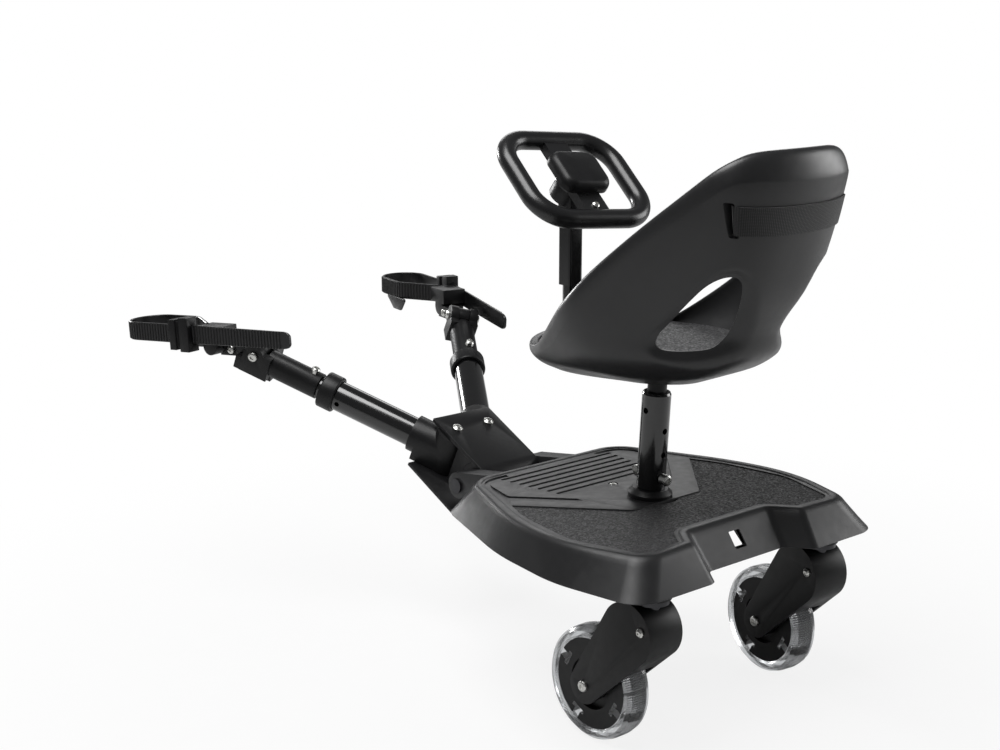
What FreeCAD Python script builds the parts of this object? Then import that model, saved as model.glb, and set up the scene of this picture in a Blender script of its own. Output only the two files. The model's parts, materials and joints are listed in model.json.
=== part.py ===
import FreeCAD, Part
import Sketcher
import math
import os
import re

# Ride-on buggy board with a bucket seat, a toy steering wheel and two arms that clamp to a stroller.
# Millimetres. X is the rider's right, Y is forward towards the stroller, Z is up, the floor is Z = 0.

V = FreeCAD.Vector
doc = FreeCAD.newDocument("BuggyBoard")
sheet = doc.addObject("Spreadsheet::Sheet", "Sizes")

SIZES = [
    ("swivel_line", -329.5, "Y of the line through both caster swivels"),
    ("running_gap", 0.05, "radial play of a turning or sliding fit"),
    ("wheel_dia", 100.0, "tyre outside diameter"),
    ("tyre_width", 25.6, "tyre width"),
    ("core_dia", 80.0, "wheel core outside diameter"),
    ("rim_bore_dia", 46.0, "inside of the core's rim ring"),
    ("hub_dia", 30.0, "wheel hub diameter"),
    ("bearing_dia", 22.0, "ball bearing outside diameter"),
    ("bearing_width", 7.0, "ball bearing width"),
    ("axle_dia", 8.0, "wheel axle diameter"),
    ("key_width", 7.0, "stem of the tyre's locking key"),
    ("key_head", 14.0, "head of the tyre's locking key"),
    ("key_depth", 11.0, "reach of the locking key below the core's outside"),
    ("caster_track", 215.2, "distance between the caster swivels"),
    ("caster_trail", 60.6, "wheel axle ahead of the swivel"),
    ("right_caster_turn", 7.9, "swivel angle of the right caster"),
    ("fork_width", 38.0, "width over the fork plates"),
    ("fork_slot", 28.6, "slot between the fork plates"),
    ("fork_head_radius", 27.5, "round upper end of the fork"),
    ("fork_head_ahead", 11.0, "fork head centre ahead of the swivel"),
    ("fork_head_height", 111.5, "fork head centre above the floor"),
    ("fork_end_radius", 16.0, "round lower end of the fork"),
    ("wheel_room", 57.0, "radius of the room for the wheel"),
    ("cross_bolt_back", 5.2, "cross bolt behind the swivel"),
    ("cross_bolt_height", 118.0, "cross bolt above the floor"),
    ("cross_bolt_dia", 6.6, "cross bolt diameter"),
    ("kingpin_dia", 12.0, "caster kingpin diameter"),
    ("deck_height", 182.0, "deck top above the floor"),
    ("deck_thickness", 6.0, "deck plate thickness"),
    ("skirt_bottom", 152.0, "skirt edge above the floor"),
    ("skirt_wall", 3.5, "skirt wall thickness"),
    ("deck_front", 248.0, "front edge of the deck top"),
    ("deck_front_half", 92.0, "half width of the deck's front edge"),
    ("deck_half_width", 150.0, "widest half width of the deck top"),
    ("deck_wide_at", 66.0, "where the deck is widest"),
    ("deck_rear", -12.0, "rear edge of the lobes over the casters"),
    ("lobe_half", 126.0, "outer corner of the rear lobe"),
    ("lobe_inner", 70.0, "inner corner of the rear lobe"),
    ("recess_half", 52.0, "half width of the rear recess"),
    ("recess_edge", 16.0, "rear edge of the deck between the lobes"),
    ("skirt_flare", 20.0, "how far the skirt flares at front and rear"),
    ("skirt_side_flare", 11.0, "how far the skirt flares at the sides"),
    ("mat_recess", 3.0, "depth of the grip mat's recess"),
    ("mat_thickness", 2.0, "grip mat thickness"),
    ("mat_band", 11.0, "rim band left around the mat"),
    ("panel_rear", 88.0, "rear edge of the smooth centre panel"),
    ("panel_half", 43.0, "half width of the panel's rear edge"),
    ("panel_tip", 170.0, "where the panel's slanted edge meets the rim"),
    ("groove_count", 7, "grooves across the panel"),
    ("groove_first", 231.0, "front groove"),
    ("groove_pitch", 10.75, "groove spacing"),
    ("groove_length", 142.0, "groove length"),
    ("groove_width", 4.0, "groove width"),
    ("groove_depth", 1.5, "groove depth"),
    ("border_width", 5.5, "width of the groove around the panel's front corners"),
    ("border_half", 57.0, "where that groove runs out beside the middle"),
    ("hinge_ahead", 313.0, "fold hinge ahead of the swivels"),
    ("hinge_height", 154.9, "fold hinge above the floor"),
    ("ear_radius", 13.0, "hinge ear radius"),
    ("ear_inner", 37.0, "inner face of the hinge ears"),
    ("ear_outer", 57.0, "outer face of the hinge ears"),
    ("hinge_pin_dia", 10.0, "hinge pin diameter"),
    ("arm_pitch", 26.3, "rise of the arms at rest"),
    ("arm_swing", 31.0, "outward angle of each arm at rest"),
    ("cover_top", 18.7, "bracket cover top above the hinge"),
    ("cover_thickness", 4.0, "bracket cover thickness"),
    ("cover_half", 36.0, "half width of the bracket cover"),
    ("cover_front", 79.0, "front edge of the cover from the hinge"),
    ("pivot_from_hinge", 58.0, "arm pivot from the hinge"),
    ("pivot_half", 20.2, "half distance between the arm pivots"),
    ("pivot_dia", 8.0, "arm pivot screw diameter"),
    ("housing_floor", 31.6, "underside of the bracket housing below the hinge"),
    ("arm_drop", 9.5, "arm axis below the hinge plane"),
    ("arm_tube_dia", 30.6, "outer arm tube diameter"),
    ("arm_tube_bore", 27.0, "outer arm tube bore"),
    ("arm_tube_start", 22.0, "outer tube start from the pivot"),
    ("arm_tube_end", 137.0, "outer tube end from the pivot"),
    ("collar_dia", 37.8, "collar diameter"),
    ("collar_length", 17.0, "collar length"),
    ("inner_tube_dia", 21.0, "sliding inner tube diameter"),
    ("arm_travel", 45.0, "length adjustment of each arm"),
    ("connector_dia", 27.2, "connector sleeve diameter"),
    ("connector_start", 150.0, "connector sleeve start from the pivot"),
    ("clamp_pivot", 222.0, "clamp pivot from the arm pivot"),
    ("clamp_pivot_rise", 8.5, "clamp pivot above the arm axis"),
    ("clamp_pin_dia", 7.0, "clamp pivot screw diameter"),
    ("cheek_reach", 18.5, "outer cheek ahead of the clamp pivot"),
    ("inner_cheek_reach", 2.0, "inner cheek's foot ahead of the clamp pivot"),
    ("tongue_thickness", 12.0, "clamp tongue thickness"),
    ("cheek_half", 15.5, "half width over the connector's cheeks"),
    ("strap_yaw", 14.0, "outward angle of the straps"),
    ("left_strap_dip", 4.2, "how far the left clamp dips forward"),
    ("right_strap_dip", 1.0, "how far the right clamp dips forward"),
    ("left_tail_droop", 0.0, "bend of the left strap's tail"),
    ("right_tail_droop", 6.5, "bend of the right strap's tail"),
    ("strap_offset", 22.5, "strap outside the clamp pivot"),
    ("strap_rise", 16.6, "strap centre above the clamp pivot"),
    ("strap_width", 19.5, "strap width"),
    ("strap_thickness", 2.6, "strap thickness"),
    ("strap_tail", 64.0, "strap tail behind the clamp pivot"),
    ("strap_reach", 183.0, "far end of the strap loop"),
    ("loop_width", 52.0, "width over the strap loop"),
    ("buckle_at", 88.0, "buckle centre ahead of the clamp pivot"),
    ("post_ahead", 108.7, "seat post foot ahead of the swivels"),
    ("post_lean", 3.44, "backward lean of the seat post"),
    ("post_dia", 26.0, "seat post tube diameter"),
    ("post_bore", 23.0, "seat post tube bore"),
    ("post_foot", 8.0, "post tube foot above the deck"),
    ("post_top", 97.5, "post tube top above the deck"),
    ("neck_dia", 17.3, "neck diameter below the seat"),
    ("flange_dia", 40.0, "post base flange diameter"),
    ("height_bolt_at", 19.3, "height bolt above the deck"),
    ("height_bolt_dia", 6.0, "height bolt diameter"),
    ("seat_travel", 45.0, "height adjustment of the seat"),
    ("seat_bottom", 296.0, "seat underside above the floor"),
    ("seat_wall", 7.0, "seat wall thickness"),
    ("mount_radius", 28.0, "mount plate radius under the seat"),
    ("mount_screw_circle", 20.0, "radius of the mount screws' circle"),
    ("seat_floor", 323.0, "top of the seat pan above the floor"),
    ("back_top", 507.0, "top of the backrest above the floor"),
    ("rim_slope", 0.835, "fall of the seat rim towards the front"),
    ("rim_knee", 109.0, "a point of the sloping rim ahead of the swivels"),
    ("rim_knee_height", 376.5, "that point above the floor"),
    ("pan_front", 168.0, "front end of the seat's hollow"),
    ("opening_lean", 40.0, "how far each side opening looks back from square"),
    ("belt_low", 439.3, "lower edge of the belt"),
    ("belt_width", 24.0, "belt width"),
    ("belt_thickness", 1.6, "belt webbing thickness"),
    ("belt_slot_at", -35.0, "belt slot from the swivel line"),
    ("belt_sag", 9.0, "how far the belt tips down behind the back"),
    ("stem_ahead", 216.0, "steering stem ahead of the swivels"),
    ("stem_dia", 14.0, "steering stem diameter"),
    ("sleeve_side", 16.5, "side of the square steering sleeve"),
    ("sleeve_foot", 360.0, "sleeve foot above the floor"),
    ("sleeve_head", 430.0, "sleeve head above the floor"),
    ("steer_height", 457.2, "steering wheel centre above the floor"),
    ("steer_tilt", 51.6, "steering axis above level"),
    ("steer_turn", 6.7, "steering wheel turned at rest"),
    ("steer_half_width", 61.6, "half width of the steering rim's centre line"),
    ("steer_half_height", 51.1, "half height of the steering rim's centre line"),
    ("steer_corner", 30.9, "corner radius of the steering rim's centre line"),
    ("steer_grip_dia", 17.6, "steering rim thickness"),
    ("steer_back", 4.3, "steering wheel centre behind the stem"),
    ("steer_pin_dia", 10.0, "steering pivot pin diameter"),
]
for row, (name, value, note) in enumerate(SIZES, 1):
    sheet.set(f"A{row}", note)
    sheet.set(f"B{row}", str(value))
    sheet.setAlias(f"B{row}", name)
doc.recompute()

NODES = []


def bound(text):
    """The expression with every cell name pointing into the sheet."""
    return re.sub(r"\b([a-z]\w*)\b(?!\()", r"Sizes.\1", str(text))


def size(text):
    """The present value of an expression of cell names."""
    return float(sheet.evalExpression(bound(text)))


def at(x, ahead, height):
    """A point given by its distance ahead of the swivel line and its height above the floor."""
    return V(x, size("swivel_line") + ahead, height)


def turn(axis, degrees, origin=V(0, 0, 0)):
    return FreeCAD.Placement(origin, FreeCAD.Rotation(axis, degrees))


def node(thing, label, placement=None):
    """Name a finished sub-part and put it in its place."""
    thing.Label = label
    if placement is not None:
        thing.Placement = placement
    NODES.append(thing)
    return thing


def new_sketch(body, name, role):
    sketch = body.newObject("Sketcher::SketchObject", name)
    plane = [part for part in body.Origin.OriginFeatures if part.Role == role][0]
    sketch.AttachmentSupport = (plane, [""])
    sketch.MapMode = "FlatFace"
    return sketch


def pin_point(sketch, line, end, tag, x, y):
    """Bind both coordinates of a point of the sketch to the sheet."""
    for kind, text, letter in (("DistanceX", x, "x"), ("DistanceY", y, "y")):
        number = sketch.addConstraint(Sketcher.Constraint(kind, -1, 1, line, end, size(text)))
        sketch.renameConstraint(number, f"{letter}{tag}")
        sketch.setExpression(f"Constraints.{letter}{tag}", bound(text))


def outline(sketch, points):
    """A closed polygon whose corners are expressions of cell names."""
    places = [V(size(x), size(y), 0) for x, y in points]
    count = len(points)
    for i in range(count):
        sketch.addGeometry(Part.LineSegment(places[i], places[(i + 1) % count]))
    for i in range(count):
        sketch.addConstraint(Sketcher.Constraint("Coincident", i, 2, (i + 1) % count, 1))
    for i, (x, y) in enumerate(points):
        pin_point(sketch, i, 1, f"p{i}", x, y)


def circles(sketch, rounds):
    """Circles given by centre and radius expressions."""
    for i, (x, y, radius) in enumerate(rounds):
        ring = Part.Circle(V(size(x), size(y), 0), V(0, 0, 1), size(radius))
        line = sketch.addGeometry(ring)
        pin_point(sketch, line, 3, f"c{i}", x, y)
        number = sketch.addConstraint(Sketcher.Constraint("Radius", line, size(radius)))
        sketch.renameConstraint(number, f"r{i}")
        sketch.setExpression(f"Constraints.r{i}", bound(radius))


def turned(name, points):
    """A body turned about its own Z from a half profile of radius and height."""
    body = doc.addObject("PartDesign::Body", name)
    sketch = new_sketch(body, name + "_profile", "XZ_Plane")
    outline(sketch, points)
    spin = body.newObject("PartDesign::Revolution", name + "_turned")
    spin.Profile = sketch
    spin.ReferenceAxis = (sketch, ["V_Axis"])
    spin.Angle = 360
    return body


def padded(name, points, length):
    """A body padded upwards from a polygon."""
    body = doc.addObject("PartDesign::Body", name)
    sketch = new_sketch(body, name + "_outline", "XY_Plane")
    outline(sketch, points)
    pad = body.newObject("PartDesign::Pad", name + "_pad")
    pad.Profile = sketch
    pad.setExpression("Length", bound(length))
    return body


def drilled(body, name, rounds, role):
    """Round holes right through the body, square to one of its origin planes."""
    sketch = new_sketch(body, name + "_circles", role)
    circles(sketch, rounds)
    pocket = body.newObject("PartDesign::Pocket", name)
    pocket.Profile = sketch
    pocket.Type = "ThroughAll"
    pocket.SideType = "Symmetric"
    return pocket


def shift(x, y, z):
    return FreeCAD.Placement(V(x, y, z), FreeCAD.Rotation())


def solid(kind, name, placement=None, **sizes):
    """A Part primitive with its sizes bound to the sheet."""
    thing = doc.addObject("Part::" + kind, name)
    for prop, text in sizes.items():
        thing.setExpression(prop, bound(text))
    if placement is not None:
        thing.Placement = placement
    return thing


def block(name, x, y, z, across, along, up):
    """A box given by its lower corner and its sizes, all as expressions."""
    return solid("Box", name, shift(size(x), size(y), size(z)), Length=across, Width=along, Height=up)


def joined(name, *parts):
    thing = doc.addObject("Part::MultiFuse", name)
    thing.Shapes = list(parts)
    return thing


def trimmed(name, base, *tools):
    """The base with the tools cut away."""
    thing = doc.addObject("Part::Cut", name)
    thing.Base = base
    thing.Tool = tools[0] if len(tools) == 1 else joined(name + "_tools", *tools)
    return thing


def shaped(name, shape):
    """A sub-part whose form is worked out below from the sheet's values."""
    thing = doc.addObject("Part::Feature", name)
    thing.Shape = shape
    return thing


def corner_frame(corners, i):
    """The corner, the directions to its neighbours, half its angle and its sense (1 outward, -1 inward)."""
    count = len(corners)
    here = V(corners[i][0], corners[i][1], 0)
    before = V(corners[i - 1][0], corners[i - 1][1], 0)
    after = V(corners[(i + 1) % count][0], corners[(i + 1) % count][1], 0)
    area = sum(corners[k - 1][0] * corners[k][1] - corners[k][0] * corners[k - 1][1] for k in range(count))
    sense = 1 if (here - before).cross(after - here).z * area > 0 else -1
    back = (before - here).normalize()
    on = (after - here).normalize()
    return here, back, on, back.getAngle(on) / 2, sense


def inset(corners, depth):
    """The rounded polygon moved inwards by a depth."""
    moved = []
    for i, (x, y, radius) in enumerate(corners):
        here, back, on, half, sense = corner_frame(corners, i)
        inward = (back + on).normalize() * sense
        spot = here + inward * (depth / math.sin(half))
        moved.append((spot.x, spot.y, max(radius - sense * depth, 0.5)))
    return moved


def rounded_wire(corners, height):
    """A closed wire of lines and arcs from (x, y, radius) corners."""
    arcs = []
    for i, (x, y, radius) in enumerate(corners):
        here, back, on, half, sense = corner_frame(corners, i)
        reach = radius / math.tan(half)
        middle = here + (back + on).normalize() * (radius / math.sin(half) - radius)
        arcs.append((here + back * reach, middle, here + on * reach))
    edges = []
    for i, (start, middle, end) in enumerate(arcs):
        edges.append(Part.Arc(start, middle, end).toShape())
        edges.append(Part.makeLine(end, arcs[(i + 1) % len(arcs)][0]))
    wire = Part.Wire(edges)
    wire.translate(V(0, 0, height))
    return wire


def rounded_slab(corners, low, high):
    return Part.Face(rounded_wire(corners, low)).extrude(V(0, 0, high - low))


def mirrored(half):
    """A closed outline from its right half, given from front to rear."""
    left = [(-x, y, radius) for x, y, radius in reversed(half)]
    return half + left


def compound(shape, placements):
    copies = []
    for placement in placements:
        copy = shape.copy()
        copy.Placement = placement.multiply(copy.Placement)
        copies.append(copy)
    return Part.makeCompound(copies)


SIDES = (("left", -1), ("right", 1))
ACROSS = turn(V(0, 1, 0), 90)
ALONG = turn(V(1, 0, 0), -90)

# Deck: a drafted shell open below, with hinge ears, ribs, a rear hanging slot and a recess for the mat.

deck_top = size("deck_height")
deck_under = size("deck_height - deck_thickness")
skirt_low = size("skirt_bottom")
flare = size("skirt_flare")
side_flare = size("skirt_side_flare")
front = size("deck_front")
wide = size("deck_half_width")
wide_at = size("deck_wide_at")
rear = size("deck_rear")
lobe = size("lobe_half")
lobe_in = size("lobe_inner")
recess = size("recess_half")
recess_y = size("recess_edge")
front_half = size("deck_front_half")
bulge = 0.3 * front_half + 0.7 * wide + 6
bulge_at = 0.4 * front + 0.6 * wide_at

top_corners = mirrored([
    (front_half, front, 34),
    (bulge, bulge_at, 120),
    (wide, wide_at, 60),
    (lobe, rear, 24),
    (lobe_in, rear + 4, 10),
    (recess, recess_y, 10),
])
skirt_corners = mirrored([
    (front_half + 0.7 * flare, front + flare, 30),
    (bulge + side_flare, bulge_at + 5, 120),
    (wide + side_flare, wide_at - 6, 60),
    (lobe + 1.25 * flare, rear - 0.8 * flare, 26),
    (lobe_in - 4, rear - 0.8 * flare, 10),
    (recess - 3, recess_y - 1.1 * flare, 10),
])
wall = size("skirt_wall")
deck_outer = Part.makeLoft(
    [rounded_wire(skirt_corners, skirt_low), rounded_wire(top_corners, deck_top)], True, True)
share = (deck_under - skirt_low) / (deck_top - skirt_low)
hollow_corners = [
    tuple(low + (high - low) * share for low, high in zip(skirt_corner, top_corner))
    for skirt_corner, top_corner in zip(skirt_corners, top_corners)
]
deck_hollow = Part.makeLoft(
    [rounded_wire(inset(skirt_corners, wall), skirt_low),
     rounded_wire(inset(hollow_corners, wall), deck_under)],
    True, True)
deck_shape = deck_outer.cut(deck_hollow)

rib_low = skirt_low + 8
ribs = []
for x in (-36, 36):
    ribs.append(Part.makeBox(3, front, deck_under - rib_low, V(x - 1.5, recess_y + 2, rib_low)))
for y in (58, 172):
    ribs.append(Part.makeBox(2 * wide, 3, deck_under - rib_low, V(-wide, y, rib_low)))
deck_shape = deck_shape.fuse([rib.common(deck_outer) for rib in ribs])

hinge_y = size("hinge_ahead")
hinge_z = size("hinge_height")
ear_r = size("ear_radius")
ear_in = size("ear_inner")
ear_wide = size("ear_outer - ear_inner")
for sign in (-1, 1):
    face_x = ear_in if sign > 0 else -ear_in - ear_wide
    ear_profile = Part.makePolygon([
        V(face_x, hinge_y, hinge_z + ear_r),
        V(face_x, front + 2, deck_top - 4),
        V(face_x, front + 12, skirt_low + 1),
        V(face_x, hinge_y, hinge_z - ear_r),
        V(face_x, hinge_y, hinge_z + ear_r),
    ])
    ear = Part.Face(ear_profile).extrude(V(ear_wide, 0, 0))
    knuckle = Part.makeCylinder(ear_r, ear_wide, V(face_x, hinge_y, hinge_z), V(1, 0, 0))
    deck_shape = deck_shape.fuse([ear, knuckle])
pin_r = size("hinge_pin_dia / 2")
pin_bore = Part.makeCylinder(pin_r, 2 * wide, V(-wide, hinge_y, hinge_z), V(1, 0, 0))
deck_shape = deck_shape.cut(pin_bore)

band = size("mat_band")
mat_outer = inset(top_corners, band)
tip_y = size("panel_tip")
panel_r = size("panel_rear")
panel_h = size("panel_half")
panel_edge = rounded_slab(mirrored([
    (wide + 60, front + 60, 2),
    (wide + 60, tip_y + (wide + 60 - 117) * 1.1, 2),
    (panel_h, panel_r, 8),
]), deck_top - 20, deck_top + 20)
mat_floor = deck_top - size("mat_recess")
mat_slab = rounded_slab(mat_outer, mat_floor, deck_top + 1).cut(panel_edge)
deck_shape = deck_shape.cut(mat_slab)
mat_top = mat_floor + size("mat_thickness")
mat_box = Part.makeBox(4 * wide, 4 * wide, mat_top - mat_floor, V(-2 * wide, -2 * wide, mat_floor))
mat_shape = mat_slab.common(mat_box)

groove_half = size("groove_length / 2")
groove_w = size("groove_width / 2")
groove_floor = deck_top - size("groove_depth")
round_end = 0.95 * groove_w
for i in range(int(size("groove_count"))):
    y = size("groove_first") - i * size("groove_pitch")
    half = groove_half - 1.7 * i
    ring = mirrored([(half, y + groove_w, round_end), (half, y - groove_w, round_end)])
    deck_shape = deck_shape.cut(rounded_slab(ring, groove_floor, deck_top + 1))

# A groove sets the panel off at its front corners and runs out along its slanted edges.
border = mirrored([
    (front_half - 1, front - 7, 26),
    (front_half + 13, front - 60, 12),
    (panel_h + 9, panel_r + 42, 2),
])
border_slab = rounded_slab(border, groove_floor, deck_top + 1).cut(
    rounded_slab(inset(border, size("border_width")), groove_floor - 1, deck_top + 2))
border_half = size("border_half")
border_middle = Part.makeBox(2 * border_half, 2 * front, 20, V(-border_half, 0, deck_top - 10))
deck_shape = deck_shape.cut(border_slab.cut(border_middle))

hang_slot = Part.makeBox(14, 40, 13, V(-7, recess_y - 1.6 * flare, skirt_low + 9))
deck_shape = deck_shape.cut(hang_slot)

# Seat post base: a flanged foot with a slotted spigot that the post tube slides on.

lean = turn(V(1, 0, 0), size("post_lean"), at(0, size("post_ahead"), deck_top))
spigot = turned("post_base_turned", [
    ("0", "-deck_thickness - 6"),
    ("18", "-deck_thickness - 6"),
    ("18", "-deck_thickness - 1.2"),
    ("post_bore / 2 - 0.5", "-deck_thickness - 1.2"),
    ("post_bore / 2 - 0.5", "-1.2"),
    ("flange_dia / 2", "-1.2"),
    ("flange_dia / 2", "post_foot - 4"),
    ("flange_dia / 2 - 4", "post_foot"),
    ("post_bore / 2 - running_gap", "post_foot"),
    ("post_bore / 2 - running_gap", "post_top - 24"),
    ("post_bore / 2 - 2", "post_top - 24"),
    ("post_bore / 2 - 2", "2"),
    ("0", "2"),
])
bolt_slot = block("post_base_slot",
                  "-height_bolt_dia / 2 - 0.5", "-post_bore", "height_bolt_at - height_bolt_dia",
                  "height_bolt_dia + 1", "2 * post_bore", "seat_travel + 2 * height_bolt_dia")
post_base = node(trimmed("post_base", spigot, bolt_slot), "post_base", lean)

# Deck screw in a countersunk hole ahead of the post.

screw_y = size("post_ahead + 47")
screw_hole = Part.makeCylinder(4.6, 2.5, V(0, screw_y, deck_top - 2.5)).fuse(
    Part.makeCylinder(2.2, 20, V(0, screw_y, deck_top - 20)))
deck_shape = deck_shape.cut(screw_hole)
deck_screw = turned("deck_screw", [
    ("0", "-14"), ("2.2", "-14"), ("2.2", "-2.5"), ("4.2", "-2.5"), ("4.2", "-1.4"), ("3.2", "-0.6"),
    ("0", "-0.6"),
])
node(deck_screw, "deck_screw", FreeCAD.Placement(at(0, screw_y, deck_top), FreeCAD.Rotation()))

# Hinge pin through the ears and the bracket's knuckle.

hinge_pin = turned("hinge_pin", [
    ("0", "-ear_outer - 2"), ("hinge_pin_dia / 2 + 2", "-ear_outer - 2"),
    ("hinge_pin_dia / 2 + 2", "-ear_outer"),
    ("hinge_pin_dia / 2", "-ear_outer"), ("hinge_pin_dia / 2", "ear_outer"),
    ("hinge_pin_dia / 2 + 2", "ear_outer"), ("hinge_pin_dia / 2 + 2", "ear_outer + 2"),
    ("0", "ear_outer + 2"),
])
hinge_place = FreeCAD.Placement(at(0, hinge_y, hinge_z), FreeCAD.Rotation())
node(hinge_pin, "hinge_pin", hinge_place.multiply(ACROSS))

# Casters: a housing under the deck, a kingpin, a fork with its bolts, and a wheel with a clear tyre.

caster_screws = []
for name, sign in SIDES:
    swivel = at(sign * size("caster_track / 2"), 0, 0)
    fixed = FreeCAD.Placement(swivel, FreeCAD.Rotation())
    heading = -size("right_caster_turn") if sign > 0 else 0
    rolling = turn(V(0, 0, 1), heading, swivel)

    fork_top = "fork_head_height + fork_head_radius"
    under = "deck_height - deck_thickness"
    boss = solid("Cylinder", "housing_boss_" + name, shift(0, 0, size(fork_top + " + 4")),
                 Radius="16", Height=f"{under} - 11 - ({fork_top} + 4)")
    slab = block("housing_slab_" + name, "-26", "-9", under + " - 12", "52", "50", "12")
    skirt_room = shaped("housing_skirt_room_" + name, deck_hollow)
    skirt_room.Placement = shift(-swivel.x, 0, 0)
    plate = doc.addObject("Part::Common", "housing_plate_" + name)
    plate.Base = slab
    plate.Tool = skirt_room
    pin_hole = solid("Cylinder", "housing_bore_" + name, shift(0, 0, size(fork_top)),
                     Radius="kingpin_dia / 2 + running_gap", Height="60")
    head_room = solid("Cylinder", "housing_room_" + name, shift(0, 0, size(under + " - 20")),
                      Radius="10", Height="7")
    spots = [(x, y) for x in (-18, 18) for y in (18, 35)]
    holes = [solid("Cylinder", f"housing_screw_hole_{name}_{k}", shift(x, y, size("fork_head_height")),
                   Radius="2.2", Height="deck_height") for k, (x, y) in enumerate(spots)]
    housing_form = joined("housing_form_" + name, boss, plate)
    housing = trimmed("caster_housing_" + name, housing_form, pin_hole, head_room, *holes)
    node(housing, "caster_housing_" + name, fixed)
    plate_low = size(under + " - 12")
    for x, y in spots:
        foot_point = fixed.Base + V(x, y, plate_low)
        caster_screws.append(Part.makeCylinder(2.2, 15, foot_point).fuse(
            Part.makeCylinder(3.6, 2.4, foot_point - V(0, 0, 2.4))))
        deck_shape = deck_shape.cut(Part.makeCylinder(2.2, 15, foot_point - V(0, size("swivel_line"), 0)))

    kingpin = turned("kingpin_" + name, [
        ("0", "cross_bolt_height + 6"), ("kingpin_dia / 2", "cross_bolt_height + 6"),
        ("kingpin_dia / 2", "fork_head_height + fork_head_radius - 0.5"),
        ("14", "fork_head_height + fork_head_radius - 0.5"),
        ("14", "fork_head_height + fork_head_radius + 3.6"),
        ("kingpin_dia / 2", "fork_head_height + fork_head_radius + 3.6"),
        ("kingpin_dia / 2", "deck_height - deck_thickness - 19.5"),
        ("9", "deck_height - deck_thickness - 19.5"), ("9", "deck_height - deck_thickness - 15"),
        ("0", "deck_height - deck_thickness - 15"),
    ])
    node(kingpin, "kingpin_" + name, rolling)

    head = V(0, size("fork_head_ahead"), size("fork_head_height"))
    end = V(0, size("caster_trail"), size("wheel_dia / 2"))
    reach = end - head
    angle = math.atan2(reach.z, reach.y)
    spread = math.acos((size("fork_head_radius") - size("fork_end_radius")) / reach.Length)
    rim_points = []
    for centre, radius, side in ((head, "fork_head_radius", 1), (end, "fork_end_radius", 1),
                                 (end, "fork_end_radius", -1), (head, "fork_head_radius", -1)):
        lean_out = angle + side * spread
        rim_points.append(centre + V(0, math.cos(lean_out), math.sin(lean_out)) * size(radius))
    cheek = Part.Face(Part.makePolygon(rim_points + rim_points[:1])).extrude(V(size("fork_width"), 0, 0))
    cheek = cheek.fuse([
        Part.makeCylinder(size("fork_head_radius"), size("fork_width"), head, V(1, 0, 0)),
        Part.makeCylinder(size("fork_end_radius"), size("fork_width"), end, V(1, 0, 0)),
    ])
    cheek.translate(V(-size("fork_width / 2"), 0, 0))
    cheek = cheek.removeSplitter()
    slot_side = V(-size("fork_slot / 2"), end.y, end.z)
    room = Part.makeCylinder(size("wheel_room"), size("fork_slot"), slot_side, V(1, 0, 0))
    lug = Part.makeBox(14, 12, 12, V(-7, head.y + 12, head.z + 13))
    fork_shape = cheek.fuse(lug).cut(room)
    bolt_y = -size("cross_bolt_back")
    bolt_z = size("cross_bolt_height")
    fork_shape = fork_shape.cut([
        Part.makeCylinder(size("cross_bolt_dia / 2"), 80, V(-40, bolt_y, bolt_z), V(1, 0, 0)),
        Part.makeCylinder(size("axle_dia / 2"), 80, V(-40, end.y, end.z), V(1, 0, 0)),
        Part.makeCylinder(size("kingpin_dia / 2"), 40, V(0, 0, bolt_z + 6)),
        Part.makeCylinder(14, 20, V(0, 0, size("fork_head_height + fork_head_radius - 0.5"))),
    ])
    node(shaped("caster_fork_" + name, fork_shape), "caster_fork_" + name, rolling)

    cross_bolt = turned("cross_bolt_" + name, [
        ("0", "-fork_width / 2 - 2.4"), ("2.4", "-fork_width / 2 - 2.4"), ("3.9", "-fork_width / 2 - 1.2"),
        ("3.9", "-fork_width / 2"), ("cross_bolt_dia / 2", "-fork_width / 2"),
        ("cross_bolt_dia / 2", "fork_width / 2"), ("5.5", "fork_width / 2"),
        ("5.5", "fork_width / 2 + 3"), ("0", "fork_width / 2 + 3"),
    ])
    axle = turned("axle_" + name, [
        ("2", "-fork_width / 2 - 1.6"), ("4.7", "-fork_width / 2 - 1.6"), ("4.7", "-fork_width / 2"),
        ("axle_dia / 2", "-fork_width / 2"), ("axle_dia / 2", "fork_width / 2"), ("4.7", "fork_width / 2"),
        ("4.7", "fork_width / 2 + 1.6"), ("0", "fork_width / 2 + 1.6"), ("0", "-fork_width / 2 + 3"),
        ("2", "-fork_width / 2 + 3"),
    ])
    wheel_place = rolling.multiply(turn(V(0, 1, 0), 90, end))
    doc.recompute()
    bolts = Part.makeCompound([
        compound(cross_bolt.Shape, [turn(V(0, 1, 0), 90, V(0, bolt_y, bolt_z))]),
        compound(axle.Shape, [turn(V(0, 1, 0), 90, end)]),
    ])
    node(shaped("fork_bolts_" + name, bolts), "fork_bolts_" + name, rolling)

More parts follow.
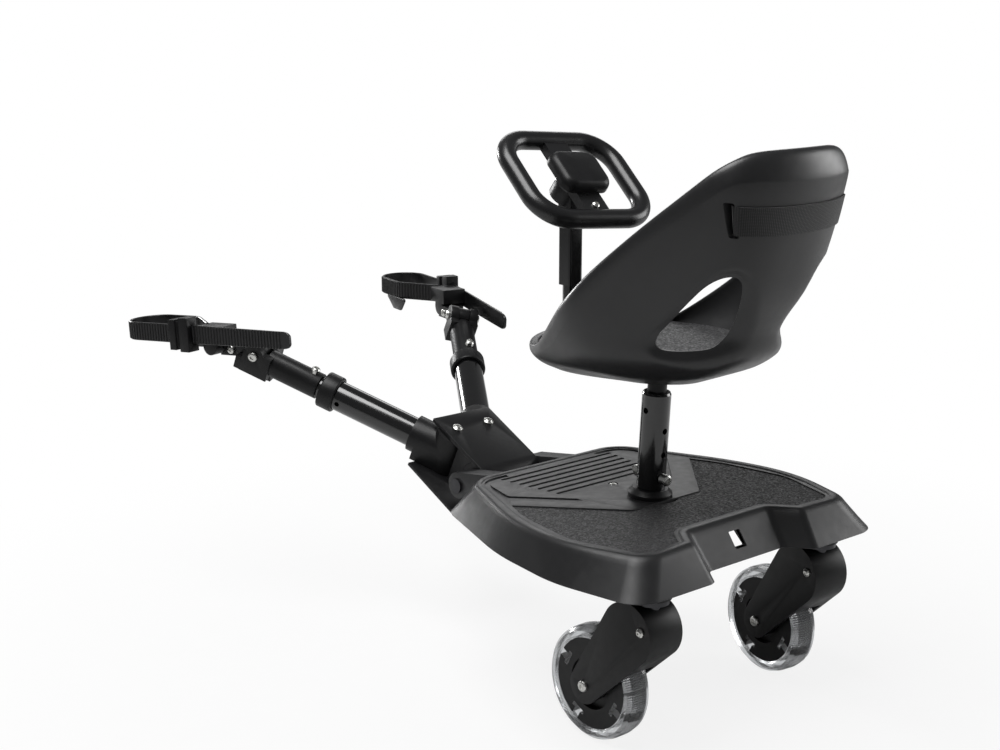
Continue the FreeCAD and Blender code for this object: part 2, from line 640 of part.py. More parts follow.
    core = turned("wheel_core_" + name, [
        ("bearing_dia / 2", "-tyre_width / 2 + 0.8"), ("hub_dia / 2", "-tyre_width / 2 + 0.8"),
        ("hub_dia / 2", "-5"), ("rim_bore_dia / 2", "-5"), ("rim_bore_dia / 2", "-tyre_width / 2 + 2"),
        ("core_dia / 2", "-tyre_width / 2 + 2"), ("core_dia / 2", "tyre_width / 2 - 2"),
        ("rim_bore_dia / 2", "tyre_width / 2 - 2"), ("rim_bore_dia / 2", "5"), ("hub_dia / 2", "5"),
        ("hub_dia / 2", "tyre_width / 2 - 0.8"), ("bearing_dia / 2", "tyre_width / 2 - 0.8"),
    ])
    key_points = [
        ("core_dia / 2 + 2", "-key_width / 2"), ("core_dia / 2 + 2", "key_width / 2"),
        ("core_dia / 2 - key_depth + 4", "key_width / 2"), ("core_dia / 2 - key_depth + 4", "key_head / 2"),
        ("core_dia / 2 - key_depth", "key_head / 2"), ("core_dia / 2 - key_depth", "-key_head / 2"),
        ("core_dia / 2 - key_depth + 4", "-key_head / 2"), ("core_dia / 2 - key_depth + 4", "-key_width / 2"),
    ]
    key_sketch = new_sketch(core, "key_slot_outline_" + name, "XY_Plane")
    outline(key_sketch, key_points)
    key_slot = core.newObject("PartDesign::Pocket", "key_slot_" + name)
    key_slot.Profile = key_sketch
    key_slot.Type = "ThroughAll"
    key_slot.SideType = "Symmetric"
    ring = core.newObject("PartDesign::PolarPattern", "key_slots_" + name)
    ring.Originals = [key_slot]
    ring.Axis = (key_sketch, ["N_Axis"])
    ring.Angle = 360
    ring.Occurrences = 4
    core.Tip = ring
    wheel_turn = wheel_place.multiply(turn(V(0, 0, 1), 28))
    node(core, "wheel_core_" + name, wheel_turn)

    tyre = turned("tyre_" + name, [
        ("core_dia / 2", "-tyre_width / 2 + 2"), ("core_dia / 2 + 2", "-tyre_width / 2"),
        ("wheel_dia / 2 - 4", "-tyre_width / 2"), ("wheel_dia / 2 - 1", "-tyre_width / 2 + 3"),
        ("wheel_dia / 2", "-tyre_width / 2 + 8"), ("wheel_dia / 2", "tyre_width / 2 - 8"),
        ("wheel_dia / 2 - 1", "tyre_width / 2 - 3"), ("wheel_dia / 2 - 4", "tyre_width / 2"),
        ("core_dia / 2 + 2", "tyre_width / 2"), ("core_dia / 2", "tyre_width / 2 - 2"),
    ])
    lock_sketch = new_sketch(tyre, "tyre_key_outline_" + name, "XY_Plane")
    outline(lock_sketch, key_points)
    lock = tyre.newObject("PartDesign::Pad", "tyre_key_" + name)
    lock.Profile = lock_sketch
    lock.setExpression("Length", bound("tyre_width - 4"))
    lock.SideType = "Symmetric"
    locks = tyre.newObject("PartDesign::PolarPattern", "tyre_keys_" + name)
    locks.Originals = [lock]
    locks.Axis = (lock_sketch, ["N_Axis"])
    locks.Angle = 360
    locks.Occurrences = 4
    tyre.Tip = locks
    node(tyre, "tyre_" + name, wheel_turn)

    bearing = turned("bearing_form_" + name, [
        ("axle_dia / 2 + running_gap", "tyre_width / 2 - 0.8 - bearing_width"),
        ("bearing_dia / 2", "tyre_width / 2 - 0.8 - bearing_width"),
        ("bearing_dia / 2", "tyre_width / 2 - 0.8"), ("axle_dia / 2 + running_gap", "tyre_width / 2 - 0.8"),
    ])
    doc.recompute()
    pair = compound(bearing.Shape, [turn(V(1, 0, 0), 0), turn(V(1, 0, 0), 180)])
    node(shaped("wheel_bearings_" + name, pair), "wheel_bearings_" + name, wheel_place)

node(shaped("caster_screws", Part.makeCompound(caster_screws)), "caster_screws")

# The deck is finished once everything that sits in it is known.

doc.recompute()
to_frame = FreeCAD.Placement(V(0, size("swivel_line"), 0), FreeCAD.Rotation())
deck_shape.Placement = to_frame
deck_shape = deck_shape.cut(post_base.Shape)
node(shaped("deck_shell", deck_shape), "deck_shell")
base_cut = Part.makeCylinder(size("flange_dia / 2 + 6"), 30, at(0, size("post_ahead"), deck_top - 15))
mat_shape.Placement = to_frame
node(shaped("grip_mat", mat_shape.cut(base_cut)), "grip_mat")

# Fold bracket: local Y runs along the arms and local Z stands square to the cover, from the hinge.

bracket_place = turn(V(1, 0, 0), size("arm_pitch"), at(0, hinge_y, hinge_z))
cover_plate = block("cover_plate", "-cover_half", "0", "cover_top - cover_thickness",
                    "2 * cover_half", "cover_front", "cover_thickness")
cover_barrel = solid("Cylinder", "cover_barrel", turn(V(0, 1, 0), 90, V(-size("cover_half"), 0, 0)),
                     Radius="cover_top", Height="2 * cover_half")
cover_bore = solid("Cylinder", "cover_bore", turn(V(0, 1, 0), 90, V(-2 * size("cover_half"), 0, 0)),
                   Radius="hinge_pin_dia / 2 + running_gap", Height="4 * cover_half")


def pivot_holes(owner):
    """Holes for both arm pivot screws."""
    holes = []
    for name, sign in SIDES:
        spot = shift(sign * size("pivot_half"), size("pivot_from_hinge"), -2 * size("housing_floor"))
        holes.append(solid("Cylinder", f"{owner}_hole_{name}", spot,
                           Radius="pivot_dia / 2", Height="4 * housing_floor"))
    return holes


cover_form = joined("cover_body", cover_plate, cover_barrel)
cover = trimmed("bracket_cover", cover_form, cover_bore, *pivot_holes("cover"))
node(cover, "bracket_cover", bracket_place)

housing_base = block("housing_base", "-ear_outer", "-14", "-housing_floor",
                     "2 * ear_outer", "pivot_from_hinge + 28", "3")
housing_web = block("housing_web", "-cover_half", "4", "-housing_floor",
                    "2 * cover_half", "30", "housing_floor + cover_top - cover_thickness")
web_room = solid("Cylinder", "housing_room", turn(V(0, 1, 0), 90, V(-2 * size("cover_half"), 0, 0)),
                 Radius="cover_top", Height="4 * cover_half")
bracket_form = joined("housing_body", housing_base, housing_web)
bracket_housing = trimmed("bracket_housing", bracket_form, web_room, *pivot_holes("housing"))
node(bracket_housing, "bracket_housing", bracket_place)

pivot_screw = turned("pivot_screw_form", [
    ("0", "-housing_floor - 2.5"), ("6", "-housing_floor - 2.5"), ("6", "-housing_floor"),
    ("pivot_dia / 2", "-housing_floor"), ("pivot_dia / 2", "cover_top"), ("5.2", "cover_top"),
    ("5.2", "cover_top + 1.2"), ("3.4", "cover_top + 2.2"), ("0", "cover_top + 2.2"),
])
doc.recompute()
screw_pair = compound(pivot_screw.Shape, [
    shift(sign * size("pivot_half"), size("pivot_from_hinge"), 0) for name, sign in SIDES])
node(shaped("pivot_screws", screw_pair), "pivot_screws", bracket_place)

# Arms: local Y runs along the arm from its pivot, local Z is square to the bracket cover.

socket_low = "arm_drop - housing_floor + 3.5"
socket_tall = "housing_floor + cover_top - cover_thickness - 4"
for name, sign in SIDES:
    pivot = turn(V(0, 0, 1), -sign * size("arm_swing"),
                 V(sign * size("pivot_half"), size("pivot_from_hinge"), -size("arm_drop")))
    arm_place = bracket_place.multiply(pivot)
    along_arm = arm_place.multiply(ALONG)

    socket_round = solid("Cylinder", "socket_round_" + name, shift(0, 0, size(socket_low)),
                         Radius="pivot_half - 0.7", Height=socket_tall)
    socket_body = block("socket_body_" + name, "-arm_tube_dia / 2 - 3.3", "0", socket_low,
                        "arm_tube_dia + 6.6", "arm_tube_start + 11", "housing_floor - arm_drop - 3.5")
    socket_barrel = solid("Cylinder", "socket_barrel_" + name, turn(V(1, 0, 0), -90),
                          Radius="arm_tube_dia / 2 + 3.5", Height="arm_tube_start + 19")
    socket_bore = solid("Cylinder", "socket_bore_" + name,
                        turn(V(1, 0, 0), -90, V(0, size("arm_tube_start"), 0)),
                        Radius="arm_tube_dia / 2", Height="arm_tube_end")
    socket_pivot = solid("Cylinder", "socket_pivot_" + name, shift(0, 0, -2 * size("housing_floor")),
                         Radius="pivot_dia / 2 + running_gap", Height="4 * housing_floor")
    socket_form = joined("socket_form_" + name, socket_round, socket_body, socket_barrel)
    socket = trimmed("arm_socket_" + name, socket_form, socket_bore, socket_pivot)
    node(socket, "arm_socket_" + name, arm_place)

    tube = turned("arm_tube_" + name, [
        ("arm_tube_bore / 2", "arm_tube_start"), ("arm_tube_dia / 2", "arm_tube_start"),
        ("arm_tube_dia / 2", "arm_tube_end"), ("arm_tube_bore / 2", "arm_tube_end"),
    ])
    doc.recompute()
    drilled(tube, "arm_tube_hole_" + name, [("0", "arm_tube_end - collar_length + 3", "2.6")], "YZ_Plane")
    node(tube, "arm_tube_" + name, along_arm)

    collar_back = "arm_tube_end - collar_length / 2"
    collar_face = "arm_tube_end + collar_length / 2"
    collar = turned("arm_collar_" + name, [
        ("arm_tube_dia / 2", collar_back), ("collar_dia / 2 - 1", collar_back),
        ("collar_dia / 2", collar_back + " + 1"), ("collar_dia / 2", collar_face + " - 1"),
        ("collar_dia / 2 - 1", collar_face), ("inner_tube_dia / 2 + running_gap", collar_face),
        ("inner_tube_dia / 2 + running_gap", "arm_tube_end"), ("arm_tube_dia / 2", "arm_tube_end"),
    ])
    node(collar, "arm_collar_" + name, along_arm)

    # The inner tube carries a guide bush at its hidden end, so it slides true in the outer tube.
    bush_back = "arm_tube_end - arm_travel - 20"
    bush_face = "arm_tube_end - arm_travel - 8"
    inner = turned("inner_tube_" + name, [
        ("inner_tube_dia / 2 - 2", bush_back), ("arm_tube_bore / 2 - running_gap", bush_back),
        ("arm_tube_bore / 2 - running_gap", bush_face), ("inner_tube_dia / 2", bush_face),
        ("inner_tube_dia / 2", "clamp_pivot - 18"), ("inner_tube_dia / 2 - 2", "clamp_pivot - 18"),
    ])
    node(inner, "inner_tube_" + name, along_arm)

    # Connector: a sleeve on the inner tube that ends in two cheeks around the clamp's tongue.
    pin_at = V(0, size("clamp_pivot"), size("clamp_pivot_rise"))
    sleeve = solid("Cylinder", "connector_sleeve_" + name,
                   turn(V(1, 0, 0), -90, V(0, size("connector_start"), 0)),
                   Radius="connector_dia / 2", Height="clamp_pivot - connector_start - 12")
    jaw = block("connector_jaw_" + name, "-cheek_half", "clamp_pivot - 19", "-connector_dia / 2 - 0.5",
                "2 * cheek_half", "31", "connector_dia / 2 + clamp_pivot_rise + 4")
    brow = solid("Cylinder", "connector_brow_" + name,
                 turn(V(0, 1, 0), 90, pin_at - V(size("cheek_half"), 0, 0)),
                 Radius="11", Height="2 * cheek_half")
    cheek_middle = f"{sign} * (cheek_half + tongue_thickness / 2) / 2"
    outer_cheek = block("connector_cheek_" + name, cheek_middle + " - 4.5", "clamp_pivot",
                        "-connector_dia / 2 - 0.5", "9", "cheek_reach", "connector_dia / 2")
    inner_middle = f"{-sign} * (cheek_half + tongue_thickness / 2) / 2"
    inner_relief = block("connector_relief_" + name, inner_middle + " - cheek_half / 2",
                         "clamp_pivot + inner_cheek_reach", "-connector_dia / 2 - 1",
                         "cheek_half", "20", "connector_dia / 2 - 1")
    tab = block("connector_tab_" + name, "-4", "clamp_pivot - 20", "-connector_dia / 2 - 6", "8", "7", "8")
    jaw_gap = block("connector_gap_" + name,
                    "-tongue_thickness / 2 - 0.4", "clamp_pivot - 13", "-2 * connector_dia",
                    "tongue_thickness + 0.8", "60", "4 * connector_dia")
    bore_start = V(0, size("connector_start - 5"), 0)
    sleeve_bore = solid("Cylinder", "connector_bore_" + name, turn(V(1, 0, 0), -90, bore_start),
                        Radius="inner_tube_dia / 2", Height="clamp_pivot - connector_start - 13")
    bolt_place = shift(0, size("connector_start + 9"), 0)
    bolt_bore = solid("Cylinder", "connector_bolt_hole_" + name, bolt_place, Radius="2.5", Height="40")
    pin_bore = solid("Cylinder", "connector_pin_hole_" + name, turn(V(0, 1, 0), 90, pin_at - V(40, 0, 0)),
                     Radius="clamp_pin_dia / 2", Height="80")
    connector_form = joined("connector_form_" + name, sleeve, jaw, brow, outer_cheek, tab)
    connector = trimmed("connector_" + name, connector_form, jaw_gap, inner_relief, sleeve_bore, bolt_bore,
                        pin_bore)
    node(connector, "connector_" + name, arm_place)

    connector_bolt = turned("connector_bolt_" + name, [
        ("0", "inner_tube_dia / 2"), ("2.5", "inner_tube_dia / 2"), ("2.5", "connector_dia / 2"),
        ("4.4", "connector_dia / 2"), ("4.4", "connector_dia / 2 + 4"), ("3.4", "connector_dia / 2 + 5"),
        ("0", "connector_dia / 2 + 5"),
    ])
    node(connector_bolt, "connector_bolt_" + name, arm_place.multiply(bolt_place))

    clamp_pin = turned("clamp_pin_" + name, [
        ("0", "-cheek_half - 2.4"), ("4.8", "-cheek_half - 2.4"), ("4.8", "-cheek_half"),
        ("clamp_pin_dia / 2", "-cheek_half"), ("clamp_pin_dia / 2", "cheek_half"),
        ("4.8", "cheek_half"), ("4.8", "cheek_half + 2.4"), ("0", "cheek_half + 2.4"),
    ])
    tilt_place = arm_place.multiply(turn(V(1, 0, 0), 0, pin_at))
    node(clamp_pin, "clamp_pin_" + name, tilt_place.multiply(ACROSS))

    # Clamp: a tongue on the pivot, a foot under the strap, the strap's loop and tail, and the buckle.
    # Local Y runs along the strap and local X is the rider's right, the strap lying on the outer side.
    dip = size(name + "_strap_dip")
    strap_place = turn(V(0, 0, 1), -sign * size("strap_yaw"), tilt_place.Base)
    strap_place = strap_place.multiply(turn(V(1, 0, 0), -dip))
    outside = sign * size("strap_offset")
    rise = size("strap_rise")
    half_band = size("strap_width / 2")
    thick = size("strap_thickness")
    tongue = size("tongue_thickness")
    reach = size("strap_reach")
    buckle = size("buckle_at")
    case_start = buckle - 15
    tongue_disc = Part.makeCylinder(9.5, tongue, V(-tongue / 2, 0, 0), V(1, 0, 0))
    tongue_disc.Placement = tilt_place
    neck_box = Part.makeBox(tongue, 24, 13, V(-tongue / 2, 0, -6.5))
    level_place = tilt_place.multiply(turn(V(1, 0, 0), -size("arm_pitch")))
    neck_box.Placement = level_place.multiply(neck_box.Placement)
    link = Part.makeBox(tongue, 30, 13, V(-tongue / 2, 21, -6.5))
    low_x = min(-sign * tongue / 2, outside - sign * thick / 2)
    across = abs(outside) + tongue / 2 - thick / 2
    foot = Part.makeCylinder(9.5, across, V(low_x, 51, 5), V(1, 0, 0))
    foot_block = Part.makeBox(across, case_start - 38, 16, V(low_x, 37, 9))
    head_shape = Part.makeCompound([link, foot, foot_block])
    head_shape.Placement = strap_place
    head_shape = tongue_disc.fuse([neck_box] + head_shape.Solids)
    pivot_bore = Part.makeCylinder(size("clamp_pin_dia / 2 + running_gap"), 60, V(-30, 0, 0), V(1, 0, 0))
    pivot_bore.Placement = tilt_place.multiply(pivot_bore.Placement)
    screw_bore = Part.makeCylinder(2.5, 60, V(-30, 35, 0), V(1, 0, 0))
    screw_bore.Placement = strap_place.multiply(screw_bore.Placement)

    inner_side = outside - sign * size("loop_width")
    edge = outside + sign * thick / 2
    loop_round = abs(edge - inner_side) / 2 - 0.01
    ring = [
        (edge, case_start - 20, 2.8), (edge, reach, loop_round), (inner_side, reach, loop_round),
        (inner_side, buckle + 26, 30), (outside - sign * 17, case_start - 6, 6),
    ]
    loop_shape = rounded_slab(ring, rise - half_band, rise + half_band).cut(
        rounded_slab(inset(ring, thick), rise - 2 * half_band, rise + 2 * half_band))
    ahead = Part.makeBox(300, 300, 100, V(-150, case_start - 2, rise - 50))
    tail_run = case_start - 2 + size("strap_tail")
    tip = 8
    tail_face = Part.Face(Part.makePolygon([
        V(0, 0, -half_band), V(0, 0, half_band), V(0, -tail_run + tip, half_band - 1),
        V(0, -tail_run, half_band - tip), V(0, -tail_run, -half_band + tip),
        V(0, -tail_run + tip, -half_band + 1), V(0, 0, -half_band),
    ]))
    tail = tail_face.extrude(V(thick, 0, 0))
    droop = size(name + "_tail_droop")
    tail.Placement = turn(V(1, 0, 0), droop, V(outside - thick / 2, case_start - 1, rise))
    pad_top = rise - half_band + 1
    pad_low = pad_top - 15
    pad_face = Part.Face(Part.makePolygon([
        V(inner_side, reach - 88, pad_top), V(inner_side, reach - 32, pad_top),
        V(inner_side, reach - 54, pad_low), V(inner_side, reach - 74, pad_low),
        V(inner_side, reach - 88, pad_top),
    ]))
    pad = pad_face.extrude(V(sign * thick, 0, 0))
    strap = loop_shape.common(ahead).fuse([tail, pad]).removeSplitter()
    node(shaped("clamp_strap_" + name, strap), "clamp_strap_" + name, strap_place)

    placed_strap = strap.copy()
    placed_strap.Placement = strap_place
    head_shape = head_shape.cut([pivot_bore, screw_bore, placed_strap]).removeSplitter()
    node(shaped("clamp_head_" + name, head_shape), "clamp_head_" + name)

    foot_screw = turned("foot_screw_" + name, [
        ("0", "-tongue_thickness / 2 - 2"), ("4.2", "-tongue_thickness / 2 - 2"),
        ("4.2", "-tongue_thickness / 2"),
        ("2.5", "-tongue_thickness / 2"), ("2.5", "tongue_thickness / 2"), ("4.2", "tongue_thickness / 2"),
        ("4.2", "tongue_thickness / 2 + 2"), ("0", "tongue_thickness / 2 + 2"),
    ])
    node(foot_screw, "foot_screw_" + name, strap_place.multiply(turn(V(0, 1, 0), 90, V(0, 35, 0))))

    case = Part.makeBox(15, 13, 36, V(outside - 7.5, case_start, rise - 18))
    bridge = Part.makeBox(12, 6, 28, V(outside - 6, case_start + 12, rise - 14))
    flange = Part.makeBox(18, 9, 32, V(outside - 9, case_start + 17, rise - 16))
    buckle_shape = case.fuse([bridge, flange]).removeSplitter().cut(strap)
    node(shaped("clamp_buckle_" + name, buckle_shape), "clamp_buckle_" + name, strap_place)

# Seat post tube, its height bolt and the mount under the seat.

post_tube = turned("seat_post_tube", [
    ("post_bore / 2", "post_foot + 0.3"), ("post_dia / 2", "post_foot + 0.3"),
    ("post_dia / 2", "post_top - 2"),
    ("post_dia / 2 - 1", "post_top"), ("post_bore / 2", "post_top"),
])
doc.recompute()
drilled(post_tube, "post_holes_ahead", [
    ("0", "height_bolt_at", "height_bolt_dia / 2"),
    ("0", "height_bolt_at + 22", "2.8"),
    ("0", "height_bolt_at + 44", "2.8"),
], "XZ_Plane")
doc.recompute()
drilled(post_tube, "post_holes_across", [("0", "post_top - 16", "2.8")], "YZ_Plane")
node(post_tube, "seat_post_tube", lean)

height_bolt = turned("height_bolt_form", [
    ("0", "-post_dia / 2 - 7"), ("4.9", "-post_dia / 2 - 7"), ("4.9", "-post_dia / 2 - 0.3"),
    ("height_bolt_dia / 2", "-post_dia / 2 - 0.3"), ("height_bolt_dia / 2", "post_dia / 2 + 9"),
    ("0", "post_dia / 2 + 9"),
])
nut = padded("height_nut", [(f"5.6 * cos({60 * k})", f"5.6 * sin({60 * k})") for k in range(6)], "5")
doc.recompute()
drilled(nut, "height_nut_hole", [("0", "0", "height_bolt_dia / 2")], "XY_Plane")
doc.recompute()
nut_place = shift(0, 0, size("post_dia / 2 + 0.3"))
bolt_set = Part.makeCompound([height_bolt.Shape, compound(nut.Shape, [nut_place])])
node(shaped("height_bolt", bolt_set), "height_bolt",
     lean.multiply(turn(V(1, 0, 0), -90, V(0, 0, size("height_bolt_at")))))

neck = turned("seat_neck_form", [
    ("0", "post_top - 21"), ("post_bore / 2", "post_top - 21"), ("post_bore / 2", "post_top"),
    ("neck_dia / 2", "post_top"), ("neck_dia / 2", "seat_bottom - deck_height + 3"),
    ("0", "seat_bottom - deck_height + 3"),
])
neck.Placement = lean
neck_side = V(-size("post_dia"), 0, size("post_top - 16"))
neck_bore = solid("Cylinder", "seat_neck_bore", lean.multiply(turn(V(0, 1, 0), 90, neck_side)),
                  Radius="2.8", Height="2 * post_dia")
post_head = lean.multVec(V(0, 0, size("seat_bottom - deck_height")))
seat_y = post_head.y - size("swivel_line")
mount_plate = solid("Cylinder", "seat_mount_plate", turn(V(0, 0, 1), 0, at(0, seat_y, size("seat_bottom"))),
                    Radius="mount_radius", Height="4")
screw_out = size("mount_screw_circle * sqrt(0.5)")
mount_spots = [(x * screw_out, y * screw_out) for x in (-1, 1) for y in (-1, 1)]
mount_holes = []
for k, (x, y) in enumerate(mount_spots):
    hole_place = turn(V(0, 0, 1), 0, at(x, seat_y + y, size("seat_bottom - 5")))
    mount_holes.append(solid("Cylinder", f"mount_hole_{k}", hole_place, Radius="2.2", Height="20"))
mount_form = joined("seat_mount_form", neck, mount_plate)
node(trimmed("seat_mount", mount_form, neck_bore, *mount_holes), "seat_mount")

# Seat: level sections from front to rear give the bucket; its rim is cut along a sloping line.

SECTIONS = [
    # height above the seat bottom, nose, shoulder, widest, flank, rear corner and back of the right half
    (0, 200, (41, 178), (43, 105), (35, 76), (20, 60), 54),
    (7, 234, (54, 201), (64, 105), (56, 68), (36, 44), 36),
    (16, 247, (60, 207), (86, 100), (71, 50), (44, 22), 15),
    (33, 251, (63, 206), (102, 97), (82, 38), (49, 3), -10),
    (55, 252, (64, 206), (111, 95), (84, 33), (48, -4), -19),
    (89, 253, (65, 205), (117, 93), (87, 19), (54, -23), -36),
    (124, 253, (65, 205), (120, 90), (90, 8), (59, -33), -46),
    (161, 253, (65, 205), (120, 86), (90, -4), (64, -40), -54),
    (193, 253, (65, 205), (117, 83), (88, -9), (66, -44), -59),
    (216, 253, (65, 205), (112, 80), (80, -10), (56, -41), -57),
]
seat_low = size("seat_bottom")


def seat_ring(section, grow):
    """One level section as a closed smooth curve, moved outwards by grow."""
    level, nose, shoulder, widest, flank, corner, back = section
    half = [(0, nose), shoulder, widest, flank, corner, (0, back)]
    full = half + [(-x, y) for x, y in reversed(half[1:-1])]
    spots = []
    for i, (x, y) in enumerate(full):
        before = full[i - 1]
        after = full[(i + 1) % len(full)]
        run = V(after[0] - before[0], after[1] - before[1], 0).normalize()
        spots.append(V(x, y, 0) + V(-run.y, run.x, 0) * grow)
    curve = Part.BSplineCurve()
    curve.interpolate(Points=spots, PeriodicFlag=True)
    wire = Part.Wire([curve.toShape()])
    wire.translate(V(0, 0, seat_low + level))
    return wire


def seat_form(grow, floor_shift=0):
    """The bucket's full-height form, moved outwards by grow and raised at the bottom."""
    rings = [seat_ring(section, grow) for section in SECTIONS]
    form = Part.makeLoft(rings, True, False, False, 3)
    if floor_shift:
        lift = Part.makeBox(600, 600, 200, V(-300, -300, seat_low + floor_shift - 200))
        form = form.cut(lift)
    return form


seat_outer = seat_form(0)
wall = size("seat_wall")
pan_top = size("seat_floor")
pan_front = size("pan_front")
hollow = seat_form(-wall, 6)
hollow = hollow.common(Part.makeBox(600, 400, 400, V(-300, pan_front - 400, seat_low)))

top_z = size("back_top")
slope = size("rim_slope")
knee = size("rim_knee")
knee_z = size("rim_knee_height")


def across_seat(corners, half_depth):
    """A prism right across the seat from an outline of distance ahead and height."""
    prism = Part.Face(rounded_wire(corners, 0)).extrude(V(0, 0, 2 * half_depth))
    prism.Placement = FreeCAD.Placement(V(-half_depth, 0, 0), FreeCAD.Rotation(V(1, 1, 1), 120))
    return prism


behind = -120
beyond = 290
sky = 700
shoulder_y = knee - (top_z + 1 - knee_z) / slope
lip_y = 172
above_rim = across_seat([
    (behind, top_z + 3, 1),
    (shoulder_y, top_z, 34),
    (lip_y, knee_z - slope * (lip_y - knee), 60),
    (beyond, pan_top - 36, 1),
    (beyond, sky, 1),
    (behind, sky, 1),
], 200)
seat_shape = seat_outer.cut([hollow, above_rim])

# Each side opening looks out and back, so its outline runs along the wall from the rear corner.
opening = [
    (76, 344, 6),
    (54, 379, 50),
    (24, 405, 15),
    (4.5, 405, 6),
    (8, 380, 60),
    (16.5, 340, 13),
    (68, 338.5, 7),
]
seat_half = 130
opening_side = across_seat(opening, seat_half).common(Part.makeBox(seat_half, 400, 400, V(2, -200, pan_top)))
for sign in (-1, 1):
    opening_prism = opening_side.copy()
    if sign < 0:
        opening_prism = opening_prism.mirror(V(0, 0, 0), V(1, 0, 0))
    opening_prism.rotate(V(0, 0, 0), V(0, 0, 1), -sign * size("opening_lean"))
    seat_shape = seat_shape.cut(opening_prism)
slot_y = size("belt_slot_at")
belt_low = size("belt_low")
belt_wide = size("belt_width")
sag = turn(V(1, 0, 0), size("belt_sag"), V(0, slot_y, belt_low))
slot_box = Part.makeBox(300, 6, belt_wide + 5, V(-150, -4, -2.5))
slot_box.Placement = sag.multiply(slot_box.Placement)
seat_shape = seat_shape.cut(slot_box)
stem_y = size("stem_ahead")
stem_hole = Part.makeCylinder(size("stem_dia / 2"), 60, V(0, stem_y, pan_top - 22))
seat_shape = seat_shape.cut(stem_hole)
seat_shape.Placement = to_frame
doc.recompute()
seat_shape = seat_shape.cut([mount_plate.Shape] + [hole.Shape for hole in mount_holes])
neck_room = Part.makeCylinder(size("neck_dia / 2 + 1.5"), 30, at(0, seat_y, seat_low - 10))
seat_shape = seat_shape.cut(neck_room)
node(shaped("seat_shell", seat_shape), "seat_shell")

pan_low = pan_top - 5
pan_band = Part.makeBox(600, 600, pan_top - pan_low, V(-300, -300, pan_low))
pan_gap = 0.4
pan_reach = Part.makeBox(600, 400, 400, V(-300, pan_front - pan_gap - 400, seat_low))
pan_form = seat_form(-wall - pan_gap).common(pan_reach)
pan_plate = pan_form.common(pan_band)
legs = []
for x, y in ((-46, 70), (46, 70), (-38, 150), (38, 150), (-26, 36), (26, 36)):
    leg = Part.makeCylinder(5, pan_low + 1 - seat_low, V(x, y, seat_low))
    legs.append(leg.common(hollow))
pan_shape = pan_plate.fuse(legs).removeSplitter()
pan_shape.Placement = to_frame
node(shaped("seat_pan", pan_shape), "seat_pan")

mount_screw = turned("mount_screw_form", [
    ("0", "-2.4"), ("3.8", "-2.4"), ("3.8", "0"), ("2.2", "0"), ("2.2", "6"), ("0", "6"),
])
doc.recompute()
mount_screws = compound(mount_screw.Shape, [
    turn(V(0, 0, 1), 0, at(x, seat_y + y, seat_low)) for x, y in mount_spots])
node(shaped("seat_mount_screws", mount_screws), "seat_mount_screws")

# Waist belt: one band round the backrest through both slots, with its buckle inside.

thin = size("belt_thickness")
band_box = Part.makeBox(600, 400, belt_wide, V(-300, -400, 0))
band_box.Placement = sag.multiply(band_box.Placement)
short_box = Part.makeBox(600, 400, 2 * belt_wide, V(-300, -thin - 400, -belt_wide / 2))
short_box.Placement = sag.multiply(short_box.Placement)
slack = 0.4
band_full = seat_form(thin).cut(seat_form(-wall - slack - thin)).common(band_box)
band_gap = seat_outer.cut(seat_form(-wall - slack)).common(short_box)
belt_shape = band_full.cut(band_gap)
belt_shape.Placement = to_frame
node(shaped("seat_belt", belt_shape), "seat_belt")
inner_back = SECTIONS[-2][6] + wall
belt_buckle = Part.makeBox(44, 14, belt_wide + 8, V(-22, inner_back - 1, belt_low - 4))
belt_buckle = belt_buckle.cut(seat_form(1).cut(seat_form(-wall - 0.2)))
belt_buckle.Placement = to_frame
belt_buckle = belt_buckle.cut(belt_shape)
belt_buckle = sorted(belt_buckle.Solids, key=lambda part: part.Volume)[-1]
node(shaped("belt_buckle", belt_buckle), "belt_buckle")

# Steering: a stem in the seat's nose, a square sleeve, a hub and the wheel on the hub's pin.

stem = turned("steering_stem", [
    ("0", "seat_floor - 22"), ("stem_dia / 2", "seat_floor - 22"),
    ("stem_dia / 2", "sleeve_head - 6"), ("0", "sleeve_head - 6"),
])
node(stem, "steering_stem", turn(V(0, 0, 1), 0, at(0, stem_y, 0)))
sleeve = padded("steering_sleeve_form", [
    ("-sleeve_side / 2", "-sleeve_side / 2"), ("sleeve_side / 2", "-sleeve_side / 2"),
    ("sleeve_side / 2", "sleeve_side / 2"), ("-sleeve_side / 2", "sleeve_side / 2"),
], "sleeve_head - sleeve_foot")
doc.recompute()
upright = [f"Edge{i + 1}" for i, edge in enumerate(sleeve.Shape.Edges)
           if abs(edge.tangentAt(edge.FirstParameter).z) > 0.99]
sleeve_pad = sleeve.Tip
soften = sleeve.newObject("PartDesign::Fillet", "steering_sleeve_corners")
soften.Base = (sleeve_pad, upright)
soften.setExpression("Radius", bound("sleeve_side / 6"))
sleeve.Tip = soften
sleeve.Placement = turn(V(0, 0, 1), 0, at(0, stem_y, size("sleeve_foot")))
sleeve_bore = solid("Cylinder", "steering_sleeve_bore",
                    turn(V(0, 0, 1), 0, at(0, stem_y, size("sleeve_foot - 5"))),
                    Radius="stem_dia / 2", Height="sleeve_head - sleeve_foot - 1")
node(trimmed("steering_sleeve", sleeve, sleeve_bore), "steering_sleeve")

